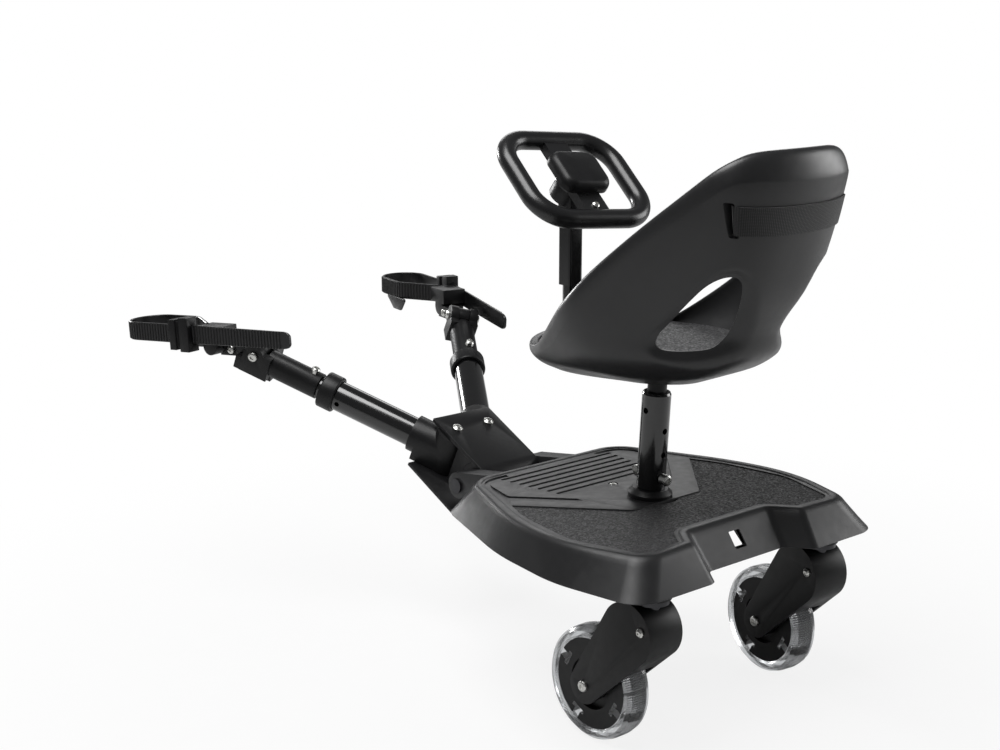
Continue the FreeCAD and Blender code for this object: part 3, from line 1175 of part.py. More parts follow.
# The steering frame's Z is the wheel's axis, towards the rider; its Y climbs along the wheel.
steer_centre = at(0, stem_y - size("steer_back"), size("steer_height"))
steer_place = turn(V(1, 0, 0), 90 - size("steer_tilt"), steer_centre)
hub_case = Part.makeCylinder(15, 16, V(0, 0, -22))
hub_case.Placement = steer_place.multiply(hub_case.Placement)
hub_leg = Part.makeBox(size("sleeve_side"), size("sleeve_side"), 30,
                       at(-size("sleeve_side / 2"), stem_y - size("sleeve_side / 2"), size("sleeve_head")))
wheel_side = Part.makeBox(200, 200, 200, V(-100, -100, -6))
wheel_side.Placement = steer_place.multiply(wheel_side.Placement)
hub_pin = Part.makeCylinder(size("steer_pin_dia / 2"), 18, V(0, 0, -8))
hub_head = Part.makeCylinder(size("steer_pin_dia / 2 + 3"), 3, V(0, 0, 7))
hub_axis = Part.makeCompound([hub_pin, hub_head])
hub_axis.Placement = steer_place
hub_shape = hub_case.fuse(hub_leg).cut(wheel_side).fuse(hub_axis.Solids).removeSplitter()
node(shaped("steering_hub", hub_shape), "steering_hub")

half_w = size("steer_half_width")
half_h = size("steer_half_height")
grip = size("steer_grip_dia / 2")
steer_turned = steer_place.multiply(turn(V(0, 0, 1), -size("steer_turn")))
rim_path = rounded_wire([
    (half_w, half_h, size("steer_corner")), (half_w, -half_h, size("steer_corner")),
    (-half_w, -half_h, size("steer_corner")), (-half_w, half_h, size("steer_corner")),
], 0)
first = rim_path.Edges[0]
start = first.valueAt(first.FirstParameter)
heading = first.tangentAt(first.FirstParameter)
grip_ring = Part.Wire([Part.makeCircle(grip, start, heading)])
rim_shape = rim_path.makePipeShell([grip_ring], True, True)
spoke = Part.makeBox(26, 2 * half_h, 9, V(-13, -half_h, -4.5))
boss = Part.makeCylinder(17, 10.5, V(0, 0, -5.5))
bore = Part.makeCylinder(size("steer_pin_dia / 2 + running_gap"), 40, V(0, 0, -20))
wheel_shape = rim_shape.fuse([spoke, boss]).cut(bore).removeSplitter()
node(shaped("steering_wheel", wheel_shape), "steering_wheel", steer_turned)

cover_top_z = 18
hub_cover = rounded_slab([(26, 23, 10), (26, -23, 10), (-26, -23, 10), (-26, 23, 10)], 4.5, cover_top_z)
hub_room = rounded_slab([(22, 19, 6), (22, -19, 6), (-22, -19, 6), (-22, 19, 6)], 4.0, cover_top_z - 5)
cover_shape = hub_cover.cut(hub_room).cut(boss)
lip = [edge for edge in cover_shape.Edges if edge.BoundBox.ZMin > cover_top_z - 0.1]
cover_shape = cover_shape.makeFillet(4, lip)
node(shaped("steering_cover", cover_shape), "steering_cover", steer_turned)

button = turned("steering_screw", [
    ("0", "4.5"), ("3.6", "4.5"), ("3.6", "5.9"), ("2.2", "6.7"), ("0", "6.7"),
])
node(button, "steering_screw", steer_turned.multiply(shift(0, -half_h + 13, 0)))

# Check every piece and write it out.

doc.recompute()
for thing in doc.Objects:
    if "Invalid" in thing.State or "Error" in thing.State:
        raise RuntimeError(f"{thing.Label} is not right: {thing.State}")
os.makedirs("parts", exist_ok=True)
for thing in NODES:
    if thing.Shape.isNull() or not thing.Shape.isValid():
        raise RuntimeError(f"{thing.Label} has no valid shape")
    thing.Shape.exportStep(f"parts/{thing.Label}.step")
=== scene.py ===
import bmesh
import bpy
import json
import math
import numpy as np
from mathutils import Matrix, Vector


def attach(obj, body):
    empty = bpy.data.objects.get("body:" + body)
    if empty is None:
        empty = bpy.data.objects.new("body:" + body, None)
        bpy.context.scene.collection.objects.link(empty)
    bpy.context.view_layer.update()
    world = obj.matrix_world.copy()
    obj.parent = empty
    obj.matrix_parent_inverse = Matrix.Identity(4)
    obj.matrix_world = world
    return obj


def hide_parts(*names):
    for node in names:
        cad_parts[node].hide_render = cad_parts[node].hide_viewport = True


# Ride-on buggy board with a bucket seat and a toy steering wheel. Sizes below are millimetres,
# X is the rider's right, Y is forward towards the stroller, Z is up; meshes are made in metres.

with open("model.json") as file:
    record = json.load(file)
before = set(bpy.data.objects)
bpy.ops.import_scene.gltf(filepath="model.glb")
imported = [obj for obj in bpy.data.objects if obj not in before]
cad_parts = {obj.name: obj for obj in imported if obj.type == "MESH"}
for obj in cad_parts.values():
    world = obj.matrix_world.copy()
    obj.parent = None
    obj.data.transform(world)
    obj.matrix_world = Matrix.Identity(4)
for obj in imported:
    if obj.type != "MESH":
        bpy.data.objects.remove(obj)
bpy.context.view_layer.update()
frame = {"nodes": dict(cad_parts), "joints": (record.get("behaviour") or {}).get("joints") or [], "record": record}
nodes = frame["nodes"]
joint = {entry["name"]: entry for entry in frame["joints"]}
bodies = frame["record"]["behaviour"]["bodies"]
body_of = {node: body for body, members in bodies.items() for node in members}
collection = bpy.context.scene.collection
MM = 0.001
SIDES = {"left": -1, "right": 1}
# Place of the two swivels along Y; the seat and the deck's rim are measured ahead of them.
SWIVEL_LINE = -329.5


# Materials

# A wave texture of this scale repeats about once in each unit of length.
ONE_WAVE = 2 / math.tau


def linear(colour):
    """An sRGB hex colour as linear red, green, blue and alpha."""
    parts = [int(colour[i:i + 2], 16) / 255 for i in (1, 3, 5)]
    return [p / 12.92 if p <= 0.04045 else ((p + 0.055) / 1.055) ** 2.4 for p in parts] + [1.0]


def add(tree, kind, inputs=None, **settings):
    """Adds a node, sets its properties, and fills or links its inputs by name or number."""
    node = tree.nodes.new(kind)
    for name, value in settings.items():
        setattr(node, name, value)
    for name, value in (inputs or {}).items():
        if isinstance(value, bpy.types.NodeSocket):
            tree.links.new(value, node.inputs[name])
        else:
            node.inputs[name].default_value = value
    return node


def per_metre(size):
    """Texture scale whose features are about this many millimetres across."""
    return 1 / (size * MM)


def new_material(name, **even):
    """A material with its shader, whose even values sit on the shader's own sockets."""
    material = bpy.data.materials.new(name)
    material.use_nodes = True
    shader = material.node_tree.nodes["Principled BSDF"]
    for socket, value in even.items():
        shader.inputs[socket.replace("_", " ")].default_value = value
    return material, material.node_tree, shader


def wire(tree, shader, shade, gloss, relief):
    """Links a finish's colour, roughness and relief to its shader."""
    tree.links.new(shade.outputs["Result"], shader.inputs["Base Color"])
    tree.links.new(gloss.outputs["Result"], shader.inputs["Roughness"])
    tree.links.new(relief.outputs["Normal"], shader.inputs["Normal"])


def fine_grained(name, deep, pale, grain, depth, smooth, rough, cloud=45, **even):
    """A moulded, coated or plated face: faintly cloudy, fine-grained and a little uneven in gloss."""
    material, tree, shader = new_material(name, **even)
    place = add(tree, "ShaderNodeTexCoord").outputs["Object"]
    tone = add(tree, "ShaderNodeTexNoise", {"Vector": place, "Scale": per_metre(cloud), "Detail": 3.0})
    shade = add(tree, "ShaderNodeMix", {
        "Factor": tone.outputs["Fac"], "A": linear(deep), "B": linear(pale)}, data_type="RGBA")
    wear = add(tree, "ShaderNodeTexNoise", {"Vector": place, "Scale": per_metre(cloud / 6), "Detail": 4.0})
    gloss = add(tree, "ShaderNodeMapRange", {
        "Value": wear.outputs["Fac"], "From Min": 0.3, "From Max": 0.7, "To Min": smooth, "To Max": rough})
    pits = add(tree, "ShaderNodeTexNoise", {"Vector": place, "Scale": per_metre(grain), "Detail": 2.0})
    relief = add(tree, "ShaderNodeBump", {"Height": pits.outputs["Fac"], "Distance": depth * MM})
    wire(tree, shader, shade, gloss, relief)
    return material


def gritted(name, deep, speck, grit, depth):
    """A face with mineral grit: round grains with a pale speck here and there."""
    material, tree, shader = new_material(name)
    place = add(tree, "ShaderNodeTexCoord").outputs["Object"]
    grains = add(tree, "ShaderNodeTexVoronoi", {"Vector": place, "Scale": per_metre(grit)})
    parts = add(tree, "ShaderNodeSeparateColor", {"Color": grains.outputs["Color"]})
    bright = add(tree, "ShaderNodeMapRange", {
        "Value": parts.outputs["Red"], "From Min": 0.62, "From Max": 1.0, "To Min": 0.0, "To Max": 0.8})
    shade = add(tree, "ShaderNodeMix", {
        "Factor": bright.outputs["Result"], "A": linear(deep), "B": linear(speck)}, data_type="RGBA")
    gloss = add(tree, "ShaderNodeMapRange", {"Value": parts.outputs["Green"], "To Min": 0.45, "To Max": 0.9})
    dome = add(tree, "ShaderNodeMath", {0: 1.0, 1: grains.outputs["Distance"]}, operation="SUBTRACT")
    tall = add(tree, "ShaderNodeMath", {
        0: dome.outputs["Value"], 1: parts.outputs["Blue"]}, operation="MULTIPLY")
    relief = add(tree, "ShaderNodeBump", {"Height": tall.outputs["Value"], "Distance": depth * MM})
    wire(tree, shader, shade, gloss, relief)
    return material


def webbing(name, deep, pale, thread):
    """Woven belt: ribs across the band and yarns along it, read from the band's own UV map in metres."""
    material, tree, shader = new_material(name, Sheen_Weight=0.25, Sheen_Roughness=0.5)
    place = add(tree, "ShaderNodeTexCoord").outputs["UV"]
    ribs = add(tree, "ShaderNodeTexWave", {
        "Vector": place, "Scale": ONE_WAVE * per_metre(thread), "Distortion": 0.4}, bands_direction="X")
    yarns = add(tree, "ShaderNodeTexWave", {
        "Vector": place, "Scale": ONE_WAVE * per_metre(thread * 0.7)}, bands_direction="Y")
    weave = add(tree, "ShaderNodeMath", {
        0: ribs.outputs["Fac"], 1: yarns.outputs["Fac"]}, operation="MULTIPLY")
    shade = add(tree, "ShaderNodeMix", {
        "Factor": weave.outputs["Value"], "A": linear(deep), "B": linear(pale)}, data_type="RGBA")
    gloss = add(tree, "ShaderNodeMapRange", {"Value": weave.outputs["Value"], "To Min": 0.9, "To Max": 0.6})
    relief = add(tree, "ShaderNodeBump", {"Height": weave.outputs["Value"], "Distance": 0.15 * MM})
    wire(tree, shader, shade, gloss, relief)
    return material


# The mould grain and the grit are finer on the real pieces; here they are as coarse as they need to show.

# ABS with a satin, finely eroded mould face: dark grey with a soft broad sheen.
seat_abs = fine_grained("satin_ABS", "#1a1a1b", "#1d1d1e", 1.4, 0.012, 0.33, 0.39)
# Polypropylene deck with a slightly coarser mould grain: dark grey, duller than the seat.
deck_pp = fine_grained("grained_polypropylene", "#1d1d1e", "#212122", 1.6, 0.02, 0.36, 0.44,
                       Specular_IOR_Level=0.36)
# Glass-filled nylon of forks, sockets and clamps: near black with a dry sheen.
nylon = fine_grained("glass_filled_nylon", "#101011", "#131314", 1.5, 0.014, 0.36, 0.46,
                     Specular_IOR_Level=0.26)
# Polished black ABS of the steering wheel: deeper black with a clearer reflection.
wheel_abs = fine_grained("polished_ABS", "#101011", "#131314", 2.0, 0.002, 0.27, 0.31)
# Gloss powder coat on steel tube: almost black with sharp streaks and a faint orange peel.
tube_coat = fine_grained("gloss_powder_coat", "#060607", "#09090a", 3.0, 0.001, 0.14, 0.19,
                         Coat_Weight=0.6, Coat_Roughness=0.08)
# Thermoplastic rubber straps: black with a waxy sheen that shows on the ribs.
strap_tpu = fine_grained("thermoplastic_rubber", "#0a0a0b", "#0e0e0f", 1.3, 0.01, 0.30, 0.42)
# Zinc-plated steel fasteners: bright, slightly blotchy metal.
zinc = fine_grained("zinc_plated_steel", "#b9b9b6", "#d0d0cc", 0.8, 0.004, 0.22, 0.36,
                    cloud=8, Metallic=1.0)
# Blackened steel of pins and bearing shields: dark grey metal with a soft glint.
black_steel = fine_grained("blackened_steel", "#3a3a3c", "#4a4a4c", 0.8, 0.004, 0.3, 0.42,
                           cloud=8, Metallic=1.0)
# Clear cast polyurethane of the tyres: water-clear with a soft skin.
clear_pu = fine_grained("clear_polyurethane", "#c9cbcd", "#d4d6d8", 2.5, 0.004, 0.14, 0.24,
                        Transmission_Weight=0.92, IOR=1.45)
# Grit-faced rubber of the deck mat: dull black with pale specks.
mat_grit = gritted("grit_faced_rubber", "#131314", "#3c3c3d", 1.5, 0.5)
# Grit-faced plastic of the seat pan: greyer, with slightly larger specks.
pan_grit = gritted("grit_faced_plastic", "#242425", "#5a5a5b", 1.7, 0.45)
# Polyester webbing: soft black with fine ribs; the 1.2 mm thread is drawn at 1.8 mm to show.
belt_web = webbing("polyester_webbing", "#0c0c0d", "#1a1a1b", 1.8)


# Mesh helpers

# Corners nearer than WELD are one corner; turns below these degrees are flat, or too slight to round.
WELD = 0.002
FLAT_TURN = 0.6
SLIGHT_TURN = 32


def new_piece(name, mesh, body, material, crease=40):
    """A finished piece at the origin that rides on a body, smooth but for its sharp edges."""
    piece = bpy.data.objects.new(name, mesh)
    collection.objects.link(piece)
    mesh.materials.clear()
    mesh.materials.append(material)
    mesh.shade_smooth()
    mesh.set_sharp_from_angle(angle=math.radians(crease))
    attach(piece, body)
    return piece


def scratch_object(name, mesh):
    """An object that only carries a mesh through its modifiers."""
    scratch = bpy.data.objects.new(name + "_scratch", mesh)
    collection.objects.link(scratch)
    return scratch


def settled(scratch, name):
    """The plain mesh that a scratch object's modifiers make; the scratch object is removed."""
    graph = bpy.context.evaluated_depsgraph_get()
    result = bpy.data.meshes.new_from_object(scratch.evaluated_get(graph), depsgraph=graph)
    bpy.data.objects.remove(scratch)
    result.name = name
    return result


def worked(name, mesh, *steps):
    """A mesh after modifiers, each given as (kind, settings)."""
    scratch = scratch_object(name, mesh)
    for kind, settings in steps:
        modifier = scratch.modifiers.new(kind.lower(), kind)
        for key, value in settings.items():
            setattr(modifier, key, value)
    return settled(scratch, name)


def grown(name, mesh, tree, sizes):
    """The plain mesh that a node tree makes from a path or a set of spots."""
    scratch = scratch_object(name, mesh)
    modifier = scratch.modifiers.new("grow", "NODES")
    modifier.node_group = tree
    for socket in tree.interface.items_tree:
        if socket.in_out == "INPUT" and socket.name in sizes:
            modifier[socket.identifier] = sizes[socket.name]
    return settled(scratch, name)


def new_tree(name, made, *wanted):
    """A geometry node tree with named inputs, given as (name, kind), and one output."""
    tree = bpy.data.node_groups.new(name, "GeometryNodeTree")
    for label, kind in wanted:
        tree.interface.new_socket(label, in_out="INPUT", socket_type="NodeSocket" + kind)
    tree.interface.new_socket(made, in_out="OUTPUT", socket_type="NodeSocketGeometry")
    return tree, add(tree, "NodeGroupInput").outputs


def mesh_from(name, points, faces, outward=True):
    """A mesh from points in millimetres and faces, with its normals turned outwards if wanted."""
    mesh = bpy.data.meshes.new(name)
    mesh.from_pydata([[c * MM for c in p] for p in points], [], faces)
    if outward:
        build = bmesh.new()
        build.from_mesh(mesh)
        bmesh.ops.recalc_face_normals(build, faces=build.faces)
        build.to_mesh(mesh)
        build.free()
    mesh.update()
    return mesh


def ring_faces(rows, count, closed=False):
    """Faces between rows that each go round a ring; closed joins the last row to the first."""
    faces = []
    for i in range(rows if closed else rows - 1):
        here = i * count
        there = (i + 1) % rows * count
        for k in range(count):
            after = (k + 1) % count
            faces.append((here + k, here + after, there + after, there + k))
    return faces


def end_faces(rows, count):
    """The faces that close the first and the last of such rows."""
    return [tuple(range(count)), tuple(range((rows - 1) * count, rows * count))]


def welded(mesh):
    """A solid's loose triangles joined at their corners, open for editing."""
    build = bmesh.new()
    build.from_mesh(mesh)
    bmesh.ops.remove_doubles(build, verts=build.verts, dist=WELD * MM)
    return build


def softened(node, width, material):
    """A copy of a solid with its hard edges rounded, which takes the solid's place."""
    mesh = nodes[node].data.copy()
    if "custom_normal" in mesh.attributes:
        mesh.attributes.remove(mesh.attributes["custom_normal"])
    build = welded(mesh)
    flat = math.radians(FLAT_TURN)
    bmesh.ops.dissolve_limit(build, angle_limit=flat, verts=build.verts, edges=build.edges)
    build.to_mesh(mesh)
    build.free()
    rounding = {"width": width * MM, "segments": 3, "limit_method": "ANGLE", "use_clamp_overlap": True,
                "angle_limit": math.radians(SLIGHT_TURN), "miter_outer": "MITER_ARC"}
    mesh = worked(node + "_softened", mesh, ("BEVEL", rounding))
    piece = new_piece(node + "_moulding", mesh, body_of[node], material)
    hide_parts(node)


def turned_mesh(mesh, place):
    """The mesh moved and turned to its place."""
    mesh.transform(place)
    mesh.update()
    return mesh


def merged(name, *meshes):
    """Several meshes as one."""
    build = bmesh.new()
    for mesh in meshes:
        build.from_mesh(mesh)
    whole = bpy.data.meshes.new(name)
    build.to_mesh(whole)
    build.free()
    return whole


def dress(material, *names):
    """Gives solids that keep their shape their real finish."""
    for name in names:
        mesh = nodes[name].data
        mesh.materials.clear()
        mesh.materials.append(material)


def unit(ways):
    """Directions made one long."""
    return ways / np.linalg.norm(ways, axis=-1, keepdims=True)


def eased(share):
    """A share from nought to one that starts and ends gently."""
    return share * share * (3 - 2 * share)


def hermite(share):
    """Weights of a curve's start, its end and the slopes there, a share of the way along."""
    end = eased(share)
    return 1 - end, end, share * (1 - share) ** 2, share ** 2 * (share - 1)


def rounded_outline(corners, step=6):
    """A closed outline of (u, v, radius) corners as points, each corner an arc."""
    points = []
    count = len(corners)
    for i, (u, v, radius) in enumerate(corners):
        here = Vector((u, v))
        back = (Vector(corners[i - 1][:2]) - here).normalized()
        ahead = (Vector(corners[(i + 1) % count][:2]) - here).normalized()
        half = back.angle(ahead) / 2
        reach = radius / math.tan(half)
        centre = here + (back + ahead).normalized() * (radius / math.sin(half))
        first = here + back * reach - centre
        last = here + ahead * reach - centre
        sweep = first.angle_signed(last)
        for k in range(step + 1):
            spin = Matrix.Rotation(-sweep * k / step, 2)
            points.append(tuple(centre + spin @ first))
    return points


def rounded_box(us, vs, radius, step=6):
    """A rectangle between two values of u and two of v, with rounded corners, as points."""
    corners = [(us[1], vs[0]), (us[1], vs[1]), (us[0], vs[1]), (us[0], vs[0])]
    return rounded_outline([(u, v, radius) for u, v in corners], step)


def smooth_outline(spots, step=6):
    """A closed smooth curve through spots, as points."""
    spots = np.array(spots, float)
    before = np.roll(spots, 1, axis=0)
    after = np.roll(spots, -1, axis=0)
    beyond = np.roll(spots, -2, axis=0)
    points = []
    for k in range(len(spots)):
        for t in np.arange(step) / step:
            points.append(tuple(0.5 * (2 * spots[k] + (after[k] - before[k]) * t
                                       + (2 * before[k] - 5 * spots[k] + 4 * after[k] - beyond[k]) * t ** 2
                                       + (3 * spots[k] - before[k] - 3 * after[k] + beyond[k]) * t ** 3)))
    return points


def prism(name, outline, span, to_point):
    """A closed prism from an outline between two depths; to_point gives the place of (u, v, depth)."""
    count = len(outline)
    points = [to_point(u, v, depth) for depth in span for u, v in outline]
    return mesh_from(name, points, ring_faces(2, count) + end_faces(2, count))


def cut(name, mesh, *cutters):
    """A closed mesh with other closed meshes taken out of it."""
    tools = [scratch_object(f"{name}_cutter_{k}", cutter) for k, cutter in enumerate(cutters)]
    steps = [("BOOLEAN", {"object": tool, "operation": "DIFFERENCE", "solver": "EXACT"}) for tool in tools]
    result = worked(name, mesh, *steps)
    for tool in tools:
        bpy.data.objects.remove(tool)
    return result


def at_swivels(points):
    """Points measured ahead of the swivels, moved to their place."""
    return [(x, y + SWIVEL_LINE, z) for x, y, z in points]


# Seat: level sections give the bucket, and its wall ends along a sloping rim that is rolled over.

SEAT_BOTTOM = 296.0
SEAT_WALL = 7.0
SEAT_FLOOR = 323.0
BACK_TOP = 507.0
# The rim slopes past its knee, a place ahead and a height, to the lip and runs on to the nose's end.
RIM_SLOPE = 0.9
RIM_KNEE = (109.0, 371.5)
LIP_AHEAD = 168.4
NOSE_END = (262.0, 316.0)
LIP_BLEND = 15.0
TOP_BLEND = 7.0
RIM_STEP = 0.5
# The roll's height and its reach inwards are shares of the wall's height, within limits.
ROLL_SHARE = 0.45
ROLL_FROM = 5.0
ROLL_LIMITS = (2.5, 26.0)
REACH_SHARE = 0.3
REACH_LIMITS = (4.0, 10.0)
# Past the roll an edge turns down into the bucket; the roll swells and sinks by shares of its drop.
EDGE_WIDTH = 2.8
EDGE_SHARE = 0.1
EDGE_MOST = 6.0
CREST_SWELL = 0.12
CREST_SINK = 0.25
EDGE_TURN = 0.3
# The floor meets the wall this far under the pan, or under a low edge, and ramps up to just below the pan.
FLOOR_SINK = 2.0
FLOOR_UNDER_EDGE = 0.5
FLOOR_GAP = 0.3
FLOOR_RAMP = 16.0
WALL_ROWS = 100
WALL_CROWDING = 0.9
WALL_PROBE = 0.5
ROLL_ROWS = 10
EDGE_ROWS = (0.25, 0.5, 0.75)
INNER_ROWS = 40
FLOOR_SPANS = 24
COLUMNS = 240
SECTIONS = [
    # height above the seat bottom, nose, shoulder, widest, flank, rear corner and back of the right half
    (0, 210, (56, 172), (46, 105), (35, 76), (20, 60), 54),
    (7, 229, (69, 178), (66, 105), (56, 68), (36, 44), 36),
    (16, 234, (78, 180), (87, 100), (71, 50), (44, 22), 15),
    (33, 236, (83, 180), (104, 97), (82, 38), (49, 3), -10),
    (55, 236, (83, 180), (114, 95), (84, 33), (48, -4), -19),
    (89, 236, (83, 180), (120, 93), (87, 19), (54, -23), -36),
    (124, 236, (83, 180), (123, 90), (90, 8), (59, -33), -46),
    (161, 236, (83, 180), (123, 86), (90, -4), (64, -40), -54),
    (193, 236, (83, 180), (120, 83), (88, -9), (66, -44), -59),
    (216, 236, (83, 180), (115, 80), (80, -10), (56, -41), -57),
]
# The section whose own gaps space the columns round the seat.
SPACING_SECTION = 6
# Edge of each side opening: distance along the wall from the rear corner, and height.
OPENING = [
    (74.3, 346), (70.9, 354), (64.5, 361.5), (54.2, 374.5), (43.5, 387), (36.2, 394.5), (28.6, 400),
    (20.3, 403.5), (12.6, 404), (8.2, 401.5), (5.9, 396), (6.7, 384), (10.5, 367), (15.0, 356),
    (19.6, 348.5), (28.8, 341), (44.3, 338.5), (62.4, 338.5), (72.1, 341),
]
OPENING_LEAN = math.radians(40)
OPENING_LINE = smooth_outline(OPENING)
OPENING_MIDDLE = (38.0, 370.0)
OPENING_CUT = (2.0, 130.0)
# The bevel round each opening grows towards one side of it, below and behind.
SURROUND_WAY = (0.75, 0.66)
SURROUND_DEPTH = 6.0
SURROUND_SHALLOW = 0.2
SURROUND_GAIN = 1.4
SURROUND_LEAST = 3.0
SURROUND_MORE = 17.0
SURROUND_GROWTH = 1.2


def full_ring(nose, shoulder, widest, flank, corner, back):
    """The outline points of a section, from the nose round by the right."""
    half = [(0, nose), shoulder, widest, flank, corner, (0, back)]
    return half + [(-x, y) for x, y in reversed(half[1:-1])]


RINGS = np.array([full_ring(*section[1:]) for section in SECTIONS], float)
LEVELS = np.array([section[0] for section in SECTIONS], float)


def ring_weights():
    """How much each outline point counts at even places round a smooth closed curve."""
    ring = RINGS[SPACING_SECTION]
    gaps = np.linalg.norm(np.roll(ring, -1, axis=0) - ring, axis=1)
    knots = np.concatenate([[0], np.cumsum(gaps)])
    size = len(gaps)
    rule = np.zeros((size, size))
    pull = np.zeros((size, size))
    for i in range(size):
        lean = gaps[i] / (gaps[i - 1] + gaps[i])
        behind = 3 * lean / gaps[i - 1]
        ahead = 3 * (1 - lean) / gaps[i]
        near = [i - 1, i, (i + 1) % size]
        rule[i, near] = [lean, 2, 1 - lean]
        pull[i, near] = [-behind, behind - ahead, ahead]
    slopes = np.linalg.solve(rule, pull)
    weights = np.zeros((COLUMNS, size))
    for row in range(COLUMNS):
        place = knots[-1] * row / COLUMNS
        k = int(np.searchsorted(knots, place, side="right")) - 1
        after = (k + 1) % size
        start, end, leave, arrive = hermite((place - knots[k]) / gaps[k])
        weights[row, k] += start
        weights[row, after] += end
        weights[row] += gaps[k] * (leave * slopes[k] + arrive * slopes[after])
    return weights


WEIGHTS = ring_weights()


def level_weights(heights):
    """How much each section counts at these heights above the seat bottom."""
    heights = np.clip(heights, LEVELS[0], LEVELS[-1])
    k = np.clip(np.searchsorted(LEVELS, heights, side="right") - 1, 0, len(LEVELS) - 2)
    gap = LEVELS[k + 1] - LEVELS[k]
    start, end, leave, arrive = hermite((heights - LEVELS[k]) / gap)
    before = np.maximum(k - 1, 0)
    beyond = np.minimum(k + 2, len(LEVELS) - 1)
    rise = leave * gap / (LEVELS[k + 1] - LEVELS[before])
    fall = arrive * gap / (LEVELS[beyond] - LEVELS[k])
    weights = np.zeros(heights.shape + (len(LEVELS),))
    grid = np.indices(heights.shape)
    for which, share in ((k, start - fall), (k + 1, end + rise), (before, -rise), (beyond, fall)):
        np.add.at(weights, (*grid, which), share)
    return weights


def seat_points(heights):
    """Points of the seat's outside; heights has a row for each level and a column for each place round."""
    flat = np.einsum("ijl,lkc,jk->ijc", level_weights(heights), RINGS, WEIGHTS)
    return np.dstack([flat, heights + SEAT_BOTTOM])


def way_round(points):
    """The way round the seat at each point of its rows."""
    return np.roll(points, -1, axis=1) - np.roll(points, 1, axis=1)


def wall_up(heights):
    """The way up the seat's wall."""
    return unit(seat_points(heights + WALL_PROBE) - seat_points(heights - WALL_PROBE))


def wall_out(heights):
    """The way square out of the seat's wall."""
    return unit(np.cross(wall_up(heights), way_round(seat_points(heights))))


def level_out(points):
    """The level way out of the seat's wall at each point of its rows."""
    around = way_round(points)
    return unit(np.dstack([-around[..., 1], around[..., 0], np.zeros(around.shape[:2])]))


def rim_height(ahead):
    """Height of the seat's rim over the ground at a distance ahead of the swivels."""
    sloping = RIM_KNEE[1] - RIM_SLOPE * (ahead - RIM_KNEE[0])
    lip = RIM_KNEE[1] - RIM_SLOPE * (LIP_AHEAD - RIM_KNEE[0])
    nose = lip + (NOSE_END[1] - lip) * (ahead - LIP_AHEAD) / (NOSE_END[0] - LIP_AHEAD)
    front = (sloping + nose + np.sqrt((sloping - nose) ** 2 + LIP_BLEND ** 2)) / 2
    return (front + BACK_TOP - np.sqrt((front - BACK_TOP) ** 2 + TOP_BLEND ** 2)) / 2


def rim_levels():
    """Height of the rim above the seat bottom at each place round."""
    heights = np.repeat(np.arange(1.0, LEVELS[-1], RIM_STEP)[:, None], COLUMNS, axis=1)
    points = seat_points(heights)
    above = points[..., 2] - rim_height(points[..., 1])
    first = np.argmax(above > 0, axis=0)
    columns = np.arange(COLUMNS)
    step = above[first, columns] / (above[first, columns] - above[first - 1, columns])
    return heights[first, columns] - RIM_STEP * step


def outline_distance(outline, ahead, height):
    """Distance from places to an outline, negative inside."""
    spots = np.stack([ahead, height], axis=-1)
    near = np.full(ahead.shape, np.inf)
    inside = np.zeros(ahead.shape, bool)
    for (u0, v0), (u1, v1) in zip(outline, outline[1:] + outline[:1]):
        run = np.array([u1 - u0, v1 - v0])
        rel = spots - np.array([u0, v0])
        along = np.clip(rel @ run / (run @ run), 0, 1)
        near = np.minimum(near, np.linalg.norm(rel - along[..., None] * run, axis=-1))
        if v0 != v1:
            crosses = (v0 > height) != (v1 > height)
            inside ^= crosses & (ahead < u0 + (height - v0) * (u1 - u0) / (v1 - v0))
    return np.where(inside, -near, near)


def surround(points):
    """How far the wall dips round the side opening: a wide bevel below and behind it."""
    along = np.abs(points[..., 0]) * math.sin(OPENING_LEAN) + points[..., 1] * math.cos(OPENING_LEAN)
    height = points[..., 2]
    gap = outline_distance(OPENING_LINE, along, height)
    way = unit(np.stack([OPENING_MIDDLE[0] - along, OPENING_MIDDLE[1] - height], axis=-1))
    toward = np.clip((1 + way @ np.array(SURROUND_WAY)) / 2, 0, 1)
    width = SURROUND_LEAST + SURROUND_MORE * toward ** SURROUND_GROWTH
    depth = SURROUND_DEPTH * np.clip(toward * SURROUND_GAIN, SURROUND_SHALLOW, 1)
    return depth * eased(np.clip(1 - gap / width, 0, 1))


def opening_place(sign):
    """Turns a spot of the opening's outline into a place on one side of the seat."""
    def to_point(along, height, depth):
        x = depth * math.cos(OPENING_LEAN) + along * math.sin(OPENING_LEAN)
        y = along * math.cos(OPENING_LEAN) - depth * math.sin(OPENING_LEAN)
        return (sign * x, y + SWIVEL_LINE, height)
    return to_point


def bent(start, toward, end, shares):
    """Rows of a curve from one row of points to another that bends towards a third."""
    return [start * (1 - t) ** 2 + toward * 2 * t * (1 - t) + end * t ** 2 for t in shares]


